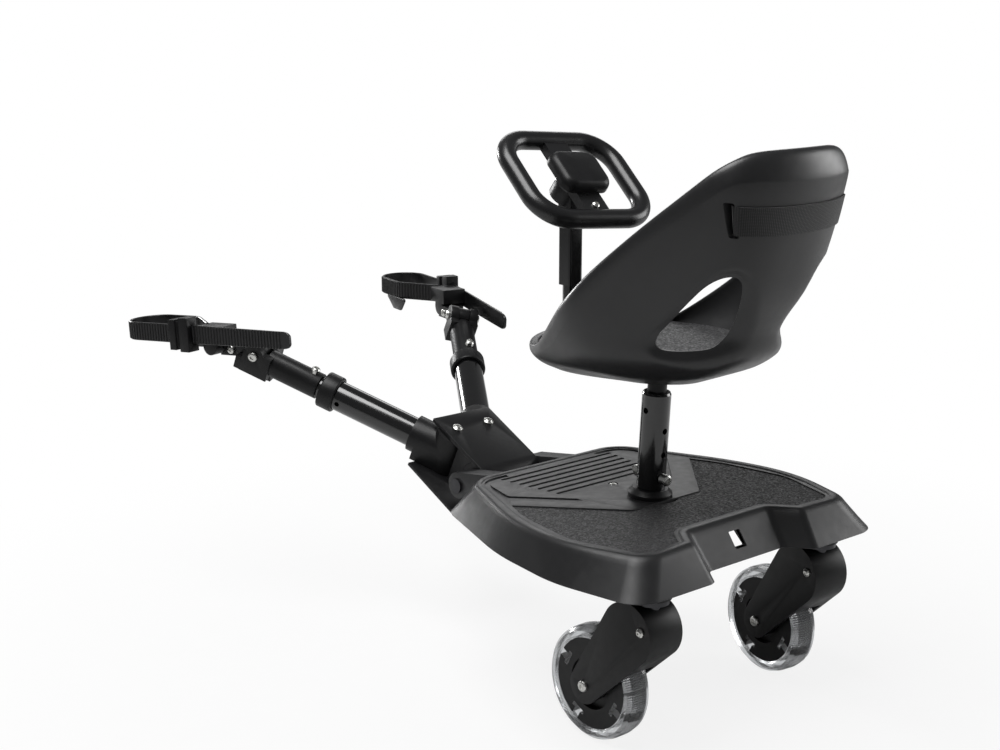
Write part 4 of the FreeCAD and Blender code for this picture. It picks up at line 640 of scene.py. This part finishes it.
def seat_rows():
    """Rows of points up the outside, over the rolled rim and down the inside to the floor."""
    top = rim_levels()
    rim_row = seat_points(top[None])
    rim = rim_row[0]
    level = level_out(rim_row)[0]
    slope = (rim_height(rim[:, 1] + 1) - rim_height(rim[:, 1] - 1)) / 2
    inward = unit(np.column_stack([-level[:, 0], -level[:, 1], -slope * level[:, 1]]))
    roll = np.clip(ROLL_SHARE * (top - ROLL_FROM), *ROLL_LIMITS)
    reach = np.clip(REACH_SHARE * top, *REACH_LIMITS)[:, None]
    edge = np.minimum(EDGE_MOST, EDGE_SHARE * top)
    drop = np.array([0, 0, 1.0]) * edge[:, None]

    steps = np.linspace(0, 1, WALL_ROWS)[:, None] ** WALL_CROWDING
    heights = steps * (top - roll * wall_up(top[None])[0, :, 2])
    wall = seat_points(heights)
    rows = list(wall - wall_out(heights) * surround(wall)[..., None])

    crest = rim + inward * reach - drop * CREST_SINK
    rows += bent(rows[-1], rim + drop * CREST_SWELL, crest, np.linspace(0, 1, ROLL_ROWS + 1)[1:])
    edge_line = rim + inward * (reach + EDGE_WIDTH)
    rows += bent(rows[-1], edge_line - drop * EDGE_TURN, edge_line - drop, EDGE_ROWS)

    floor = np.minimum(SEAT_FLOOR - FLOOR_SINK - SEAT_BOTTOM, top - edge - FLOOR_UNDER_EDGE)
    steps = np.linspace(0, 1, INNER_ROWS)[:, None]
    inner = seat_points(top - edge + steps * (floor - top + edge))
    inner -= level_out(inner) * SEAT_WALL
    drift = edge_line - drop - inner[0]
    rows += list(inner + drift * (1 - steps[..., None]) ** 3)
    return rows


def add_floor(points, faces, first):
    """Closes the bucket's inside, whose last row starts at point number first, with strips across it."""
    edge = np.array(points[first:])
    strips = [[first]]
    for j in range(1, COLUMNS // 2):
        here, there = edge[j], edge[COLUMNS - j]
        strip = [first + j]
        for k in range(1, FLOOR_SPANS):
            spot = here + (there - here) * k / FLOOR_SPANS
            gap = np.linalg.norm(edge[:, :2] - spot[:2], axis=1).min()
            spot[2] += (SEAT_FLOOR - FLOOR_GAP - spot[2]) * eased(min(gap / FLOOR_RAMP, 1.0))
            strip.append(len(points))
            points.append(tuple(spot))
        strips.append(strip + [first + COLUMNS - j])
    strips.append([first + COLUMNS // 2])
    for near, far in zip(strips, strips[1:]):
        if len(near) == 1:
            faces += [(near[0], far[k], far[k + 1]) for k in range(FLOOR_SPANS)]
        elif len(far) == 1:
            faces += [(far[0], near[k + 1], near[k]) for k in range(FLOOR_SPANS)]
        else:
            faces += [(near[k], near[k + 1], far[k + 1], far[k]) for k in range(FLOOR_SPANS)]


def seat_shell():
    """The bucket as one closed skin: outside, rolled rim, inside and a floor under the pan."""
    rows = seat_rows()
    points = [tuple(spot) for row in rows for spot in row]
    faces = ring_faces(len(rows), COLUMNS)
    faces.append(tuple(range(COLUMNS)))
    add_floor(points, faces, (len(rows) - 1) * COLUMNS)
    return mesh_from("seat_skin", at_swivels(points), faces)


BELT_LOW = 439.3
BELT_WIDTH = 24.0
BELT_THICKNESS = 1.6
BELT_SLOT_AT = -35.0
BELT_SAG = math.radians(9.0)
SLOT_ALONG = (-4.0, 2.0)
SLOT_MARGIN = 2.5
SLOT_CORNER = 1.5
SLOT_CUT = (60.0, 130.0)


def belt_level(ahead, across):
    """Height of a thread of the belt above the ground; the band tips down behind the back."""
    return BELT_LOW + across * math.cos(BELT_SAG) + (ahead - BELT_SLOT_AT) * math.tan(BELT_SAG)


def slot_place(sign):
    """Turns a spot of a belt slot's outline into a place on one side of the seat."""
    def to_point(u, v, depth):
        ahead = BELT_SLOT_AT + u
        return (sign * depth, ahead + SWIVEL_LINE, belt_level(ahead, v))
    return to_point


slot_line = rounded_box(SLOT_ALONG, (-SLOT_MARGIN, BELT_WIDTH + SLOT_MARGIN), SLOT_CORNER)
cutters = [prism("opening_prism", OPENING_LINE, OPENING_CUT, opening_place(sign)) for sign in SIDES.values()]
cutters += [prism("slot_prism", slot_line, SLOT_CUT, slot_place(sign)) for sign in SIDES.values()]
seat = new_piece("seat_bucket", cut("seat_mesh", seat_shell(), *cutters), "seat", seat_abs)
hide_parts("seat_shell")


# Waist belt: one woven band round the backrest, through both slots and back along the inside.

BELT_THREADS = 5
# Both runs end this far behind the slots and turn at a line in them, leaning outwards on the way.
BELT_LAP = 4.5
TURN_AT = BELT_SLOT_AT + 0.8
TURN_LEAN = 0.45
OUTSIDE_GAP = 0.1
INSIDE_GAP = 0.3
LEVEL_ROUNDS = 6
CORNER_CUTS = 2


def belt_run(outside):
    """Points of the belt along one face of the backrest for each thread, from right to left."""
    threads = []
    for k in range(BELT_THREADS):
        across = BELT_WIDTH * k / (BELT_THREADS - 1)
        heights = np.full((1, COLUMNS), BELT_LOW + across - SEAT_BOTTOM)
        for _ in range(LEVEL_ROUNDS):
            heights = belt_level(seat_points(heights)[..., 1], across) - SEAT_BOTTOM
        points = seat_points(heights)
        threads.append((points + level_out(points) * outside)[0])
    threads = np.array(threads)
    behind = threads[BELT_THREADS // 2, :, 1] < BELT_SLOT_AT - BELT_LAP
    return threads[:, behind]


def belt_turn(last, first):
    """The belt's way through a slot, between the end of one run and the start of the next."""
    turn = np.stack([last, first], axis=1)
    reach = TURN_AT - turn[..., 1]
    turn[..., 0] += np.sign(turn[..., 0]) * reach * TURN_LEAN
    turn[..., 1] = TURN_AT
    turn[..., 2] += reach * math.tan(BELT_SAG)
    return turn


def waist_belt():
    """The belt's middle face, with lengths along and across it in metres as its UV map."""
    outer = belt_run(BELT_THICKNESS / 2 + OUTSIDE_GAP)
    inner = belt_run(-SEAT_WALL - BELT_THICKNESS / 2 - INSIDE_GAP)[:, ::-1]
    left_turn = belt_turn(outer[:, -1], inner[:, 0])
    right_turn = belt_turn(inner[:, -1], outer[:, 0])
    ring = np.concatenate([outer, left_turn, inner, right_turn], axis=1)
    for _ in range(CORNER_CUTS):
        after = np.roll(ring, -1, axis=1)
        ring = np.stack([0.75 * ring + 0.25 * after, 0.25 * ring + 0.75 * after], axis=2)
        ring = ring.reshape(BELT_THREADS, -1, 3)
    steps = np.linalg.norm(np.roll(ring, -1, axis=1) - ring, axis=2)[BELT_THREADS // 2]
    along = np.concatenate([[0], np.cumsum(steps)])
    marks = []
    for k in range(BELT_THREADS - 1):
        low, high = (BELT_WIDTH * row / (BELT_THREADS - 1) for row in (k, k + 1))
        for start, end in zip(along, along[1:]):
            marks += [(start, low), (end, low), (end, high), (start, high)]
    points = at_swivels(spot for thread in ring for spot in thread)
    mesh = mesh_from("belt_face", points, ring_faces(BELT_THREADS, ring.shape[1]), outward=False)
    chart = mesh.uv_layers.new(name="cloth")
    for loop, (u, v) in zip(chart.data, marks):
        loop.uv = (u * MM, v * MM)
    return mesh, along[-1]


belt_face, belt_length = waist_belt()
belt_mesh = worked("belt_mesh", belt_face, ("SOLIDIFY", {"thickness": BELT_THICKNESS * MM, "offset": 0.0}))
belt = new_piece("waist_belt", belt_mesh, "seat", belt_web, crease=50)
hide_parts("seat_belt")


# Clamp straps: a flat rubber band with a looped end, a loose tail and a finger flap, ribbed outside.

STRAP_OUTSIDE = 22.5
STRAP_RISE = 16.6
STRAP_HALF = 9.75
STRAP_THICK = 2.6
STRAP_SOFT = 0.6
STRAP_YAW = math.radians(14)
STRAP_DIP = {"left": math.radians(4.2), "right": math.radians(1.0)}
# The loop leaves the clamp, turns at its far end and comes back past its neck towards its foot.
LOOP_ROOT = 50.0
LOOP_START = 71.0
LOOP_END = 183.0
LOOP_WIDTH = 52.0
LOOP_NECK = 114.0
NECK_BEND = 29.0
FOOT_IN = 17.0
FOOT_AT = 67.0
# The tail is narrower by so much at each place along it and has a rounded tip.
TAIL_TAPER = [(72.0, 0.0), (20.0, 0.4), (-30.0, 0.8)]
TAIL_DROOP = {"left": 0.0, "right": math.radians(6.5)}
TAIL_RIBS = (66.0, -50.0)
TIP_END = -64.0
TIP_LENGTH = 9.0
TIP_HALF = 3.95
TIP_ROUND = 4.8
TIP_STEPS = 8
# The flap hangs below the loop's inner run, from a long root to a shorter tip.
FLAP_TOP = 7.85
FLAP_DROP = 15.0
FLAP_ROOT = (95.0, 151.0)
FLAP_TIP = (109.0, 129.0)
ROOT_CORNER = 2.0
TIP_CORNER = 5.0
FLAP_SOFT = 0.7
RIB_PITCH = 4.0
RIB_RADIUS = 1.1
RIB_SUNK = 0.2
RIB_SHORT = 1.0


def rib_tree():
    """Node tree that stands round ribs at an even pitch along a path."""
    tree, given = new_tree("strap_ribs", "Ribs", ("Path", "Geometry"), ("Pitch", "Float"),
                           ("Rib radius", "Float"), ("Rib length", "Float"), ("Finish", "Material"))
    path = add(tree, "GeometryNodeMeshToCurve", {"Mesh": given["Path"]})
    spots = add(tree, "GeometryNodeCurveToPoints", {
        "Curve": path.outputs["Curve"], "Length": given["Pitch"]}, mode="LENGTH")
    rib = add(tree, "GeometryNodeMeshCylinder", {
        "Vertices": 12, "Radius": given["Rib radius"], "Depth": given["Rib length"]})
    placed = add(tree, "GeometryNodeInstanceOnPoints", {
        "Points": spots.outputs["Points"], "Instance": rib.outputs["Mesh"]})
    whole = add(tree, "GeometryNodeRealizeInstances", {"Geometry": placed.outputs["Instances"]})
    dressed = add(tree, "GeometryNodeSetMaterial", {
        "Geometry": whole.outputs["Geometry"], "Material": given["Finish"]})
    add(tree, "NodeGroupOutput", {"Ribs": dressed.outputs["Geometry"]})
    return tree


def band_sides(path):
    """The way to the right of each point of a level path."""
    ahead = unit(np.gradient(np.array(path, float), axis=0))
    return np.column_stack([ahead[:, 1], -ahead[:, 0]])


def band_mesh(name, path, halves):
    """A flat band on edge along a level path, with softened corners and its own half width at each point."""
    half = STRAP_THICK / 2
    thin = half - STRAP_SOFT
    points = []
    for (x, y), (sx, sy), tall in zip(path, band_sides(path), halves):
        low = tall - STRAP_SOFT
        for t, w in ((half, low), (thin, tall), (-thin, tall), (-half, low),
                     (-half, -low), (-thin, -tall), (thin, -tall), (half, -low)):
            points.append((x + sx * t, y + sy * t, STRAP_RISE + w))
    return mesh_from(name, points, end_faces(len(path), 8) + ring_faces(len(path), 8))


def ribs_along(name, path):
    """Ribs across the band's outside, stood along a level path."""
    mesh = bpy.data.meshes.new(name + "_path")
    spots = [(x * MM, y * MM, STRAP_RISE * MM) for x, y in path]
    mesh.from_pydata(spots, [(i, i + 1) for i in range(len(spots) - 1)], [])
    sizes = {"Pitch": RIB_PITCH * MM, "Rib radius": RIB_RADIUS * MM,
             "Rib length": 2 * (STRAP_HALF - RIB_SHORT) * MM, "Finish": strap_tpu}
    return grown(name, mesh, ribs, sizes)


def strap_loop(outside, sign):
    """The looped end's band and the ribs all round its outside."""
    inside = outside - sign * (LOOP_WIDTH - STRAP_THICK / 2)
    end = LOOP_END - STRAP_THICK / 2
    bend = abs(outside - inside) / 2 - 0.05
    foot = outside - sign * FOOT_IN
    corners = [(outside, LOOP_ROOT, 1), (outside, end, bend), (inside, end, bend),
               (inside, LOOP_NECK, NECK_BEND), (foot, FOOT_AT, 1)]
    ring = [spot for spot in rounded_outline(corners, step=16) if spot[1] > LOOP_START + 2]
    share = (LOOP_NECK - LOOP_START) / (LOOP_NECK - FOOT_AT)
    path = [(outside, LOOP_START)] + ring + [(inside + (foot - inside) * share, LOOP_START)]
    lift = sign * (STRAP_THICK / 2 - RIB_SUNK)
    outer = [(x + sx * lift, y + sy * lift) for (x, y), (sx, sy) in zip(path, band_sides(path))]
    return band_mesh("loop_band", path, [STRAP_HALF] * len(path)), ribs_along("loop_ribs", outer)


def strap_tail(outside, sign, droop):
    """The loose tail behind the clamp, which hangs a little where the strap is slack."""
    places = [place for place, taper in TAIL_TAPER]
    halves = [STRAP_HALF - taper for place, taper in TAIL_TAPER]
    for k in range(TIP_STEPS + 1):
        angle = math.pi / 2 * k / TIP_STEPS
        places.append(TIP_END + TIP_LENGTH * (1 - math.sin(angle)))
        halves.append(TIP_HALF + TIP_ROUND * math.cos(angle))
    band = band_mesh("tail_band", [(outside, y) for y in places], halves)
    lift = sign * (STRAP_THICK / 2 - RIB_SUNK)
    tail = merged("tail", band, ribs_along("tail_ribs", [(outside + lift, y) for y in TAIL_RIBS]))
    hinge = Matrix.Translation((0, places[0] * MM, STRAP_RISE * MM))
    return turned_mesh(tail, hinge @ Matrix.Rotation(droop, 4, "X") @ hinge.inverted())


def strap_flap(outside, sign):
    """The finger flap below the loop's inner run."""
    near = outside - sign * LOOP_WIDTH
    low = FLAP_TOP - FLAP_DROP
    line = rounded_outline([(FLAP_ROOT[0], FLAP_TOP, ROOT_CORNER), (FLAP_ROOT[1], FLAP_TOP, ROOT_CORNER),
                            (FLAP_TIP[1], low, TIP_CORNER), (FLAP_TIP[0], low, TIP_CORNER)])
    flap = prism("flap", line, (0, STRAP_THICK), lambda y, z, depth: (near + sign * depth, y, z))
    return worked("flap", flap, ("BEVEL", {"width": FLAP_SOFT * MM, "segments": 2, "limit_method": "ANGLE"}))


def strap(name, sign):
    """One clamp's strap in its own frame: the loop, the tail and the flap."""
    outside = sign * STRAP_OUTSIDE
    loop_band, loop_ribs = strap_loop(outside, sign)
    tail = strap_tail(outside, sign, TAIL_DROOP[name])
    return merged("strap_" + name, loop_band, loop_ribs, tail, strap_flap(outside, sign))


def strap_place(name, sign):
    """The frame of one clamp's strap at rest."""
    pivot = Matrix.Translation(joint["tilt_" + name]["pos_m"])
    return pivot @ Matrix.Rotation(-sign * STRAP_YAW, 4, "Z") @ Matrix.Rotation(-STRAP_DIP[name], 4, "X")


ribs = rib_tree()
for name, sign in SIDES.items():
    strap_mesh = turned_mesh(strap(name, sign), strap_place(name, sign))
    band = new_piece("ribbed_strap_" + name, strap_mesh, "clamp_" + name, strap_tpu)
    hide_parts("clamp_strap_" + name)


# Steering cover: a crowned square pad in the middle of the toy wheel.

STEER_LEAN = math.radians(38.4)
STEER_TURN = math.radians(-6.7)
COVER_HALF = (26.0, 23.0)
COVER_CORNER = 11.0
# Heights over the hub: foot, top of the straight side, end of the rounded edge, crown.
COVER_FOOT = 4.5
COVER_SIDE = 8.5
COVER_EDGE = 16.5
COVER_TOP = 18.0
EDGE_IN = 0.24
EDGE_STEPS = 7


def steering_place():
    """The frame of the toy wheel at rest, its Z along the steering axis."""
    hub = Matrix.Translation(joint["steer"]["pos_m"])
    return hub @ Matrix.Rotation(STEER_LEAN, 4, "X") @ Matrix.Rotation(STEER_TURN, 4, "Z")


def steering_cover():
    """The pad as rows from its foot over a rounded edge to a gently crowned top."""
    wide, deep = COVER_HALF
    foot = rounded_box((-wide, wide), (-deep, deep), COVER_CORNER, step=9)
    rows = [(1.0, COVER_FOOT), (1.0, COVER_SIDE)]
    for k in range(1, EDGE_STEPS + 1):
        angle = math.pi / 2 * k / EDGE_STEPS
        share = 1 - EDGE_IN * (1 - math.cos(angle))
        rows.append((share, COVER_SIDE + (COVER_EDGE - COVER_SIDE) * math.sin(angle)))
    rows += [(0.62, COVER_TOP - 1.0), (0.42, COVER_TOP - 0.4), (0.2, COVER_TOP - 0.1)]
    points = [(u * share, v * share, height) for share, height in rows for u, v in foot]
    faces = end_faces(len(rows), len(foot)) + ring_faces(len(rows), len(foot))
    return mesh_from("cover_skin", points, faces)


cover_mesh = turned_mesh(steering_cover(), steering_place())
cover = new_piece("steering_pad", cover_mesh, "steering", nylon, crease=50)
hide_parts("steering_cover")


# Screw heads: domed heads with a hexagon socket over the plain fasteners.

HEAD_SIDES = 24
# Reach and height of the head's rows as shares of its radius, up the dome and down into the socket.
HEAD_DOME = [(1.05, -0.35), (1.05, 0.0), (1.0, 0.1), (0.85, 0.2), (0.6, 0.26)]
HEAD_SOCKET = [(0.5, 0.26), (0.46, 0.02)]
# Corners this near to a fastener's end belong to its end face.
FACE_DEPTH = 0.3
BRACKET_NORMAL = (0.0, -0.443071, 0.896486)
BOLT_WAY = (0, -0.998, -0.06)


def screw_tree():
    """Node tree that sets a head on each spot, turned to its facing and scaled to its radius."""
    tree, given = new_tree("screw_heads", "Heads", ("Spots", "Geometry"), ("Head", "Object"),
                           ("Finish", "Material"))
    facing = add(tree, "GeometryNodeInputNamedAttribute", {"Name": "facing"}, data_type="FLOAT_VECTOR")
    radius = add(tree, "GeometryNodeInputNamedAttribute", {"Name": "radius"}, data_type="FLOAT")
    turn = add(tree, "FunctionNodeAlignRotationToVector", {"Vector": facing.outputs["Attribute"]}, axis="Z")
    head = add(tree, "GeometryNodeObjectInfo", {"Object": given["Head"]})
    placed = add(tree, "GeometryNodeInstanceOnPoints", {
        "Points": given["Spots"], "Instance": head.outputs["Geometry"], "Rotation": turn.outputs["Rotation"],
        "Scale": radius.outputs["Attribute"]})
    whole = add(tree, "GeometryNodeRealizeInstances", {"Geometry": placed.outputs["Instances"]})
    dressed = add(tree, "GeometryNodeSetMaterial", {
        "Geometry": whole.outputs["Geometry"], "Material": given["Finish"]})
    add(tree, "NodeGroupOutput", {"Heads": dressed.outputs["Geometry"]})
    return tree


def screw_head():
    """A domed head of radius one metre with a hexagon socket; its foot sinks below the plain head's face."""
    rows = HEAD_DOME + HEAD_SOCKET
    points = []
    for row in rows:
        reach, height = row
        for i in range(HEAD_SIDES):
            angle = math.tau * i / HEAD_SIDES
            share = reach / MM
            if row in HEAD_SOCKET:
                share *= math.cos(math.pi / 6) / math.cos(angle % (math.pi / 3) - math.pi / 6)
            points.append((share * math.cos(angle), share * math.sin(angle), height / MM))
    faces = end_faces(len(rows), HEAD_SIDES) + ring_faces(len(rows), HEAD_SIDES)
    return mesh_from("screw_head", points, faces)


def heads(node, facing):
    """Centre and radius of the end face that each fastener of a node turns a way."""
    facing = Vector(facing).normalized()
    build = welded(nodes[node].data)
    found = []
    left = set(build.verts)
    while left:
        island = {left.pop()}
        edge = list(island)
        while edge:
            for link in edge.pop().link_edges:
                for vert in link.verts:
                    if vert not in island:
                        island.add(vert)
                        edge.append(vert)
        left -= island
        top = max(vert.co @ facing for vert in island)
        face = [vert.co for vert in island if vert.co @ facing > top - FACE_DEPTH * MM]
        centre = sum(face, Vector()) / len(face)
        found.append((centre, max((spot - centre).length for spot in face)))
    build.free()
    return found


fasteners = [
    ("pivot_screws", BRACKET_NORMAL), ("deck_screw", (0, 0, 1)), ("seat_mount_screws", (0, 0, -1)),
    ("height_bolt", BOLT_WAY), ("steering_screw", joint["steer"]["axis"]),
]
for name, sign in SIDES.items():
    across = strap_place(name, sign).to_3x3() @ Vector((1, 0, 0))
    fasteners.append(("connector_bolt_" + name, BRACKET_NORMAL))
    for way in (-1, 1):
        fasteners.append(("clamp_pin_" + name, way * Vector(joint["tilt_" + name]["axis"])))
        fasteners.append(("fork_bolts_" + name, way * Vector(joint["roll_" + name]["axis"])))
        fasteners.append(("foot_screw_" + name, way * across))

pattern = bpy.data.objects.new("head_pattern", screw_head())
collection.objects.link(pattern)
screws = screw_tree()
for body in sorted({body_of[node] for node, facing in fasteners}):
    spots = [(centre, Vector(facing), radius) for node, facing in fasteners if body_of[node] == body
             for centre, radius in heads(node, facing)]
    points = bpy.data.meshes.new("screw_spots")
    points.from_pydata([centre for centre, facing, radius in spots], [], [])
    points.attributes.new("facing", "FLOAT_VECTOR", "POINT")
    points.attributes.new("radius", "FLOAT", "POINT")
    for k, (centre, facing, radius) in enumerate(spots):
        points.attributes["facing"].data[k].vector = facing.normalized()
        points.attributes["radius"].data[k].value = radius
    head_mesh = grown("head_mesh", points, screws, {"Head": pattern, "Finish": zinc})
    caps = new_piece("screw_heads_" + body, head_mesh, body, zinc)
bpy.data.objects.remove(pattern)


# Deck rim: the drafted skirt with its long side curves, a rounded top edge and the plain band by the mat.

DECK_TOP = 182.0
SKIRT_LOW = 152.0
RIM_BAND = 9.8
# Half outlines of the top and of the skirt's lower edge, from the front to the middle of the rear:
# half width, distance ahead of the swivels and corner radius.
TOP_HALF = [
    (93.6, 249.4, 36), (142.5, 139.0, 270), (154.8, 66.0, 150),
    (127.4, -13.2, 24), (68.6, -9.2, 10), (50.8, 14.6, 10),
]
SKIRT_HALF = [
    (107.3, 269.3, 32), (153.5, 144.0, 270), (165.6, 60.0, 150),
    (152.2, -29.2, 26), (64.8, -29.2, 10), (47.8, -7.4, 10),
]
# Share of the way from the skirt's edge to the top, how far in, and height.
RIM_PROFILE = [
    (0.0, 3.0, SKIRT_LOW + 0.4), (0.0, 0.8, SKIRT_LOW - 0.2), (0.0, 0.0, SKIRT_LOW + 0.6),
    (0.3, 0.0, SKIRT_LOW + 9), (0.6, 0.0, SKIRT_LOW + 18), (0.8, 0.0, SKIRT_LOW + 24),
    (0.9, 0.2, DECK_TOP - 2.6), (0.96, 0.7, DECK_TOP - 0.9), (1.0, 1.6, DECK_TOP + 0.3),
    (1.0, 2.9, DECK_TOP + 0.9), (1.0, 4.5, DECK_TOP + 1.1), (1.0, 7.5, DECK_TOP + 1.1),
    (1.0, 9.2, DECK_TOP + 0.8), (1.0, RIM_BAND, DECK_TOP + 0.2), (1.0, RIM_BAND, DECK_TOP - 2.0),
]
# The band narrows by a share between these distances ahead of the swivels.
FRONT_FROM = 215.0
FRONT_TO = 235.0
FRONT_NARROWER = 0.4
HANG_SLOT_HALF = 7.0
HANG_SLOT_HEIGHTS = (161.0, 174.0)
HANG_SLOT_CORNER = 1.0
HANG_SLOT_CUT = (-40.0, 30.0)


def both_sides(half):
    """A closed outline's points from the corners of its right half."""
    mirrored = [(-x, y, radius) for x, y, radius in reversed(half)]
    return np.array(rounded_outline(half + mirrored, step=12))


def deck_rim():
    """A closed ring round the deck: under edge, skirt, rounded top edge and band."""
    low = both_sides(SKIRT_HALF)
    top = both_sides(TOP_HALF)
    points = []
    for share, inset, height in RIM_PROFILE:
        line = low + (top - low) * share
        ahead = unit(np.roll(line, -1, axis=0) - np.roll(line, 1, axis=0))
        inward = np.column_stack([ahead[:, 1], -ahead[:, 0]])
        front = np.clip((line[:, 1] - FRONT_FROM) / (FRONT_TO - FRONT_FROM), 0, 1)[:, None]
        spots = line + inward * (inset * (1 - FRONT_NARROWER * front))
        points += [(x, y, height) for x, y in spots]
    faces = ring_faces(len(RIM_PROFILE), len(low), closed=True)
    return mesh_from("deck_rim_skin", at_swivels(points), faces)


slot_edge = rounded_box((-HANG_SLOT_HALF, HANG_SLOT_HALF), HANG_SLOT_HEIGHTS, HANG_SLOT_CORNER)
hang_slot = prism("hang_slot", slot_edge, HANG_SLOT_CUT, lambda x, z, depth: (x, depth + SWIVEL_LINE, z))
rim = new_piece("deck_rim", cut("deck_rim_mesh", deck_rim(), hang_slot), "deck", deck_pp)


# Mouldings whose hard edges are rounded off, with the width of the rounding.

single_mouldings = {"bracket_cover": 1.2, "bracket_housing": 1.0, "post_base": 1.0, "steering_hub": 0.8}
paired_mouldings = {
    "caster_fork": 1.2, "caster_housing": 0.8, "arm_socket": 1.0, "arm_collar": 1.0, "connector": 0.9,
    "clamp_head": 1.5, "clamp_buckle": 1.8,
}
for node, width in single_mouldings.items():
    softened(node, width, nylon)
for name in SIDES:
    for node, width in paired_mouldings.items():
        softened(f"{node}_{name}", width, nylon)
softened("deck_shell", 1.0, deck_pp)


# Finishes of the solids that keep their shape.

dress(mat_grit, "grip_mat")
dress(pan_grit, "seat_pan")
dress(wheel_abs, "steering_wheel")
dress(zinc, "deck_screw", "pivot_screws", "height_bolt", "seat_mount_screws")
dress(zinc, "steering_screw", "caster_screws")
dress(tube_coat, "seat_post_tube", "steering_stem", "steering_sleeve")
dress(nylon, "seat_mount", "belt_buckle")
dress(black_steel, "hinge_pin")
for name in SIDES:
    dress(nylon, "wheel_core_" + name)
    dress(tube_coat, "arm_tube_" + name, "inner_tube_" + name)
    dress(zinc, "fork_bolts_" + name, "connector_bolt_" + name, "clamp_pin_" + name, "foot_screw_" + name)
    dress(black_steel, "kingpin_" + name, "wheel_bearings_" + name)
    dress(clear_pu, "tyre_" + name)


# Stage: a white floor, soft boxes and the camera behind the left side.

FLOOR_HALF = 6000
# Round this place the floor keeps a soft shadow, which fades out between these distances in metres.
SHADOW_MIDDLE = (0.0, -0.15, 0.0)
SHADOW_FADE = (0.3, 0.85)
CAMERA_DIP = math.radians(13.197)
CAMERA_TURN = math.radians(-40.82)


def seen_straight(tree):
    """One where the camera sees a face straight or through a clear tyre, nought in other light."""
    path = add(tree, "ShaderNodeLightPath").outputs
    either = add(tree, "ShaderNodeMath", {
        0: path["Is Camera Ray"], 1: path["Is Transmission Ray"]}, operation="MAXIMUM")
    return either.outputs["Value"]


def white_floor():
    """Matt white paper that looks white to the camera and keeps a soft shadow under the board."""
    corners = [(x * FLOOR_HALF, y * FLOOR_HALF, 0) for x, y in ((-1, -1), (1, -1), (1, 1), (-1, 1))]
    mesh = mesh_from("floor", corners, [(0, 1, 2, 3)], outward=False)
    floor = bpy.data.objects.new("floor", mesh)
    collection.objects.link(floor)
    material = bpy.data.materials.new("matt_white_paper")
    material.use_nodes = True
    tree = material.node_tree
    tree.nodes.clear()
    place = add(tree, "ShaderNodeTexCoord").outputs["Object"]
    fibre = add(tree, "ShaderNodeTexNoise", {"Vector": place, "Scale": per_metre(30)})
    paper = add(tree, "ShaderNodeMix", {
        "Factor": fibre.outputs["Fac"], "A": linear("#cfcfcf"), "B": linear("#d6d6d6")}, data_type="RGBA")
    matt = add(tree, "ShaderNodeBsdfDiffuse", {"Color": paper.outputs["Result"]})
    glow = add(tree, "ShaderNodeEmission", {"Color": linear("#ffffff"), "Strength": 1.0})
    reach = add(tree, "ShaderNodeVectorMath", {0: place, 1: SHADOW_MIDDLE}, operation="DISTANCE")
    fade = add(tree, "ShaderNodeMapRange", {
        "Value": reach.outputs["Value"], "From Min": SHADOW_FADE[0], "From Max": SHADOW_FADE[1],
        "To Min": 0.85, "To Max": 1.0}, interpolation_type="SMOOTHSTEP")
    share = add(tree, "ShaderNodeMath", {
        0: seen_straight(tree), 1: fade.outputs["Result"]}, operation="MULTIPLY")
    blend = add(tree, "ShaderNodeMixShader", {
        "Fac": share.outputs["Value"], 1: matt.outputs["BSDF"], 2: glow.outputs["Emission"]})
    add(tree, "ShaderNodeOutputMaterial", {"Surface": blend.outputs["Shader"]})
    mesh.materials.append(material)


def studio_air():
    """A white backdrop that lights the board only dimly."""
    world = bpy.data.worlds.new("studio_air")
    bpy.context.scene.world = world
    world.use_nodes = True
    tree = world.node_tree
    tree.nodes.clear()
    dim = add(tree, "ShaderNodeBackground", {"Color": linear("#e8e9ea"), "Strength": 0.22})
    white = add(tree, "ShaderNodeBackground", {"Color": linear("#ffffff"), "Strength": 1.0})
    blend = add(tree, "ShaderNodeMixShader", {
        "Fac": seen_straight(tree), 1: dim.outputs["Background"], 2: white.outputs["Background"]})
    add(tree, "ShaderNodeOutputWorld", {"Surface": blend.outputs["Shader"]})


def soft_box(name, place, target, width, height, power):
    """A rectangular soft box that faces a point."""
    light = bpy.data.lights.new(name, "AREA")
    light.shape = "RECTANGLE"
    light.size = width
    light.size_y = height
    light.energy = power
    lamp = bpy.data.objects.new(name, light)
    collection.objects.link(lamp)
    aim = Vector(target) - Vector(place)
    lamp.matrix_world = Matrix.Translation(place) @ aim.to_track_quat("-Z", "Y").to_matrix().to_4x4()


white_floor()
studio_air()
middle = (0.0, -0.2, 0.3)
soft_box("overhead_box", (-0.6, -0.1, 1.9), middle, 1.2, 1.2, 38)
soft_box("front_box", (0.0, 2.1, 0.62), middle, 0.6, 0.36, 16)
soft_box("back_box", (1.7, 2.0, 1.45), middle, 2.0, 0.9, 12)
soft_box("right_box", (2.0, -1.1, 0.8), middle, 1.2, 1.2, 22)

camera_data = bpy.data.cameras.new("camera")
camera_data.sensor_width = 36.0
camera_data.lens = 59.42
camera = bpy.data.objects.new("camera", camera_data)
collection.objects.link(camera)
camera.location = (-1.0315, -1.2085, 0.6263)
camera.rotation_euler = (math.pi / 2 - CAMERA_DIP, 0, CAMERA_TURN)
bpy.context.scene.camera = camera
bpy.context.scene.view_settings.view_transform = "Standard"
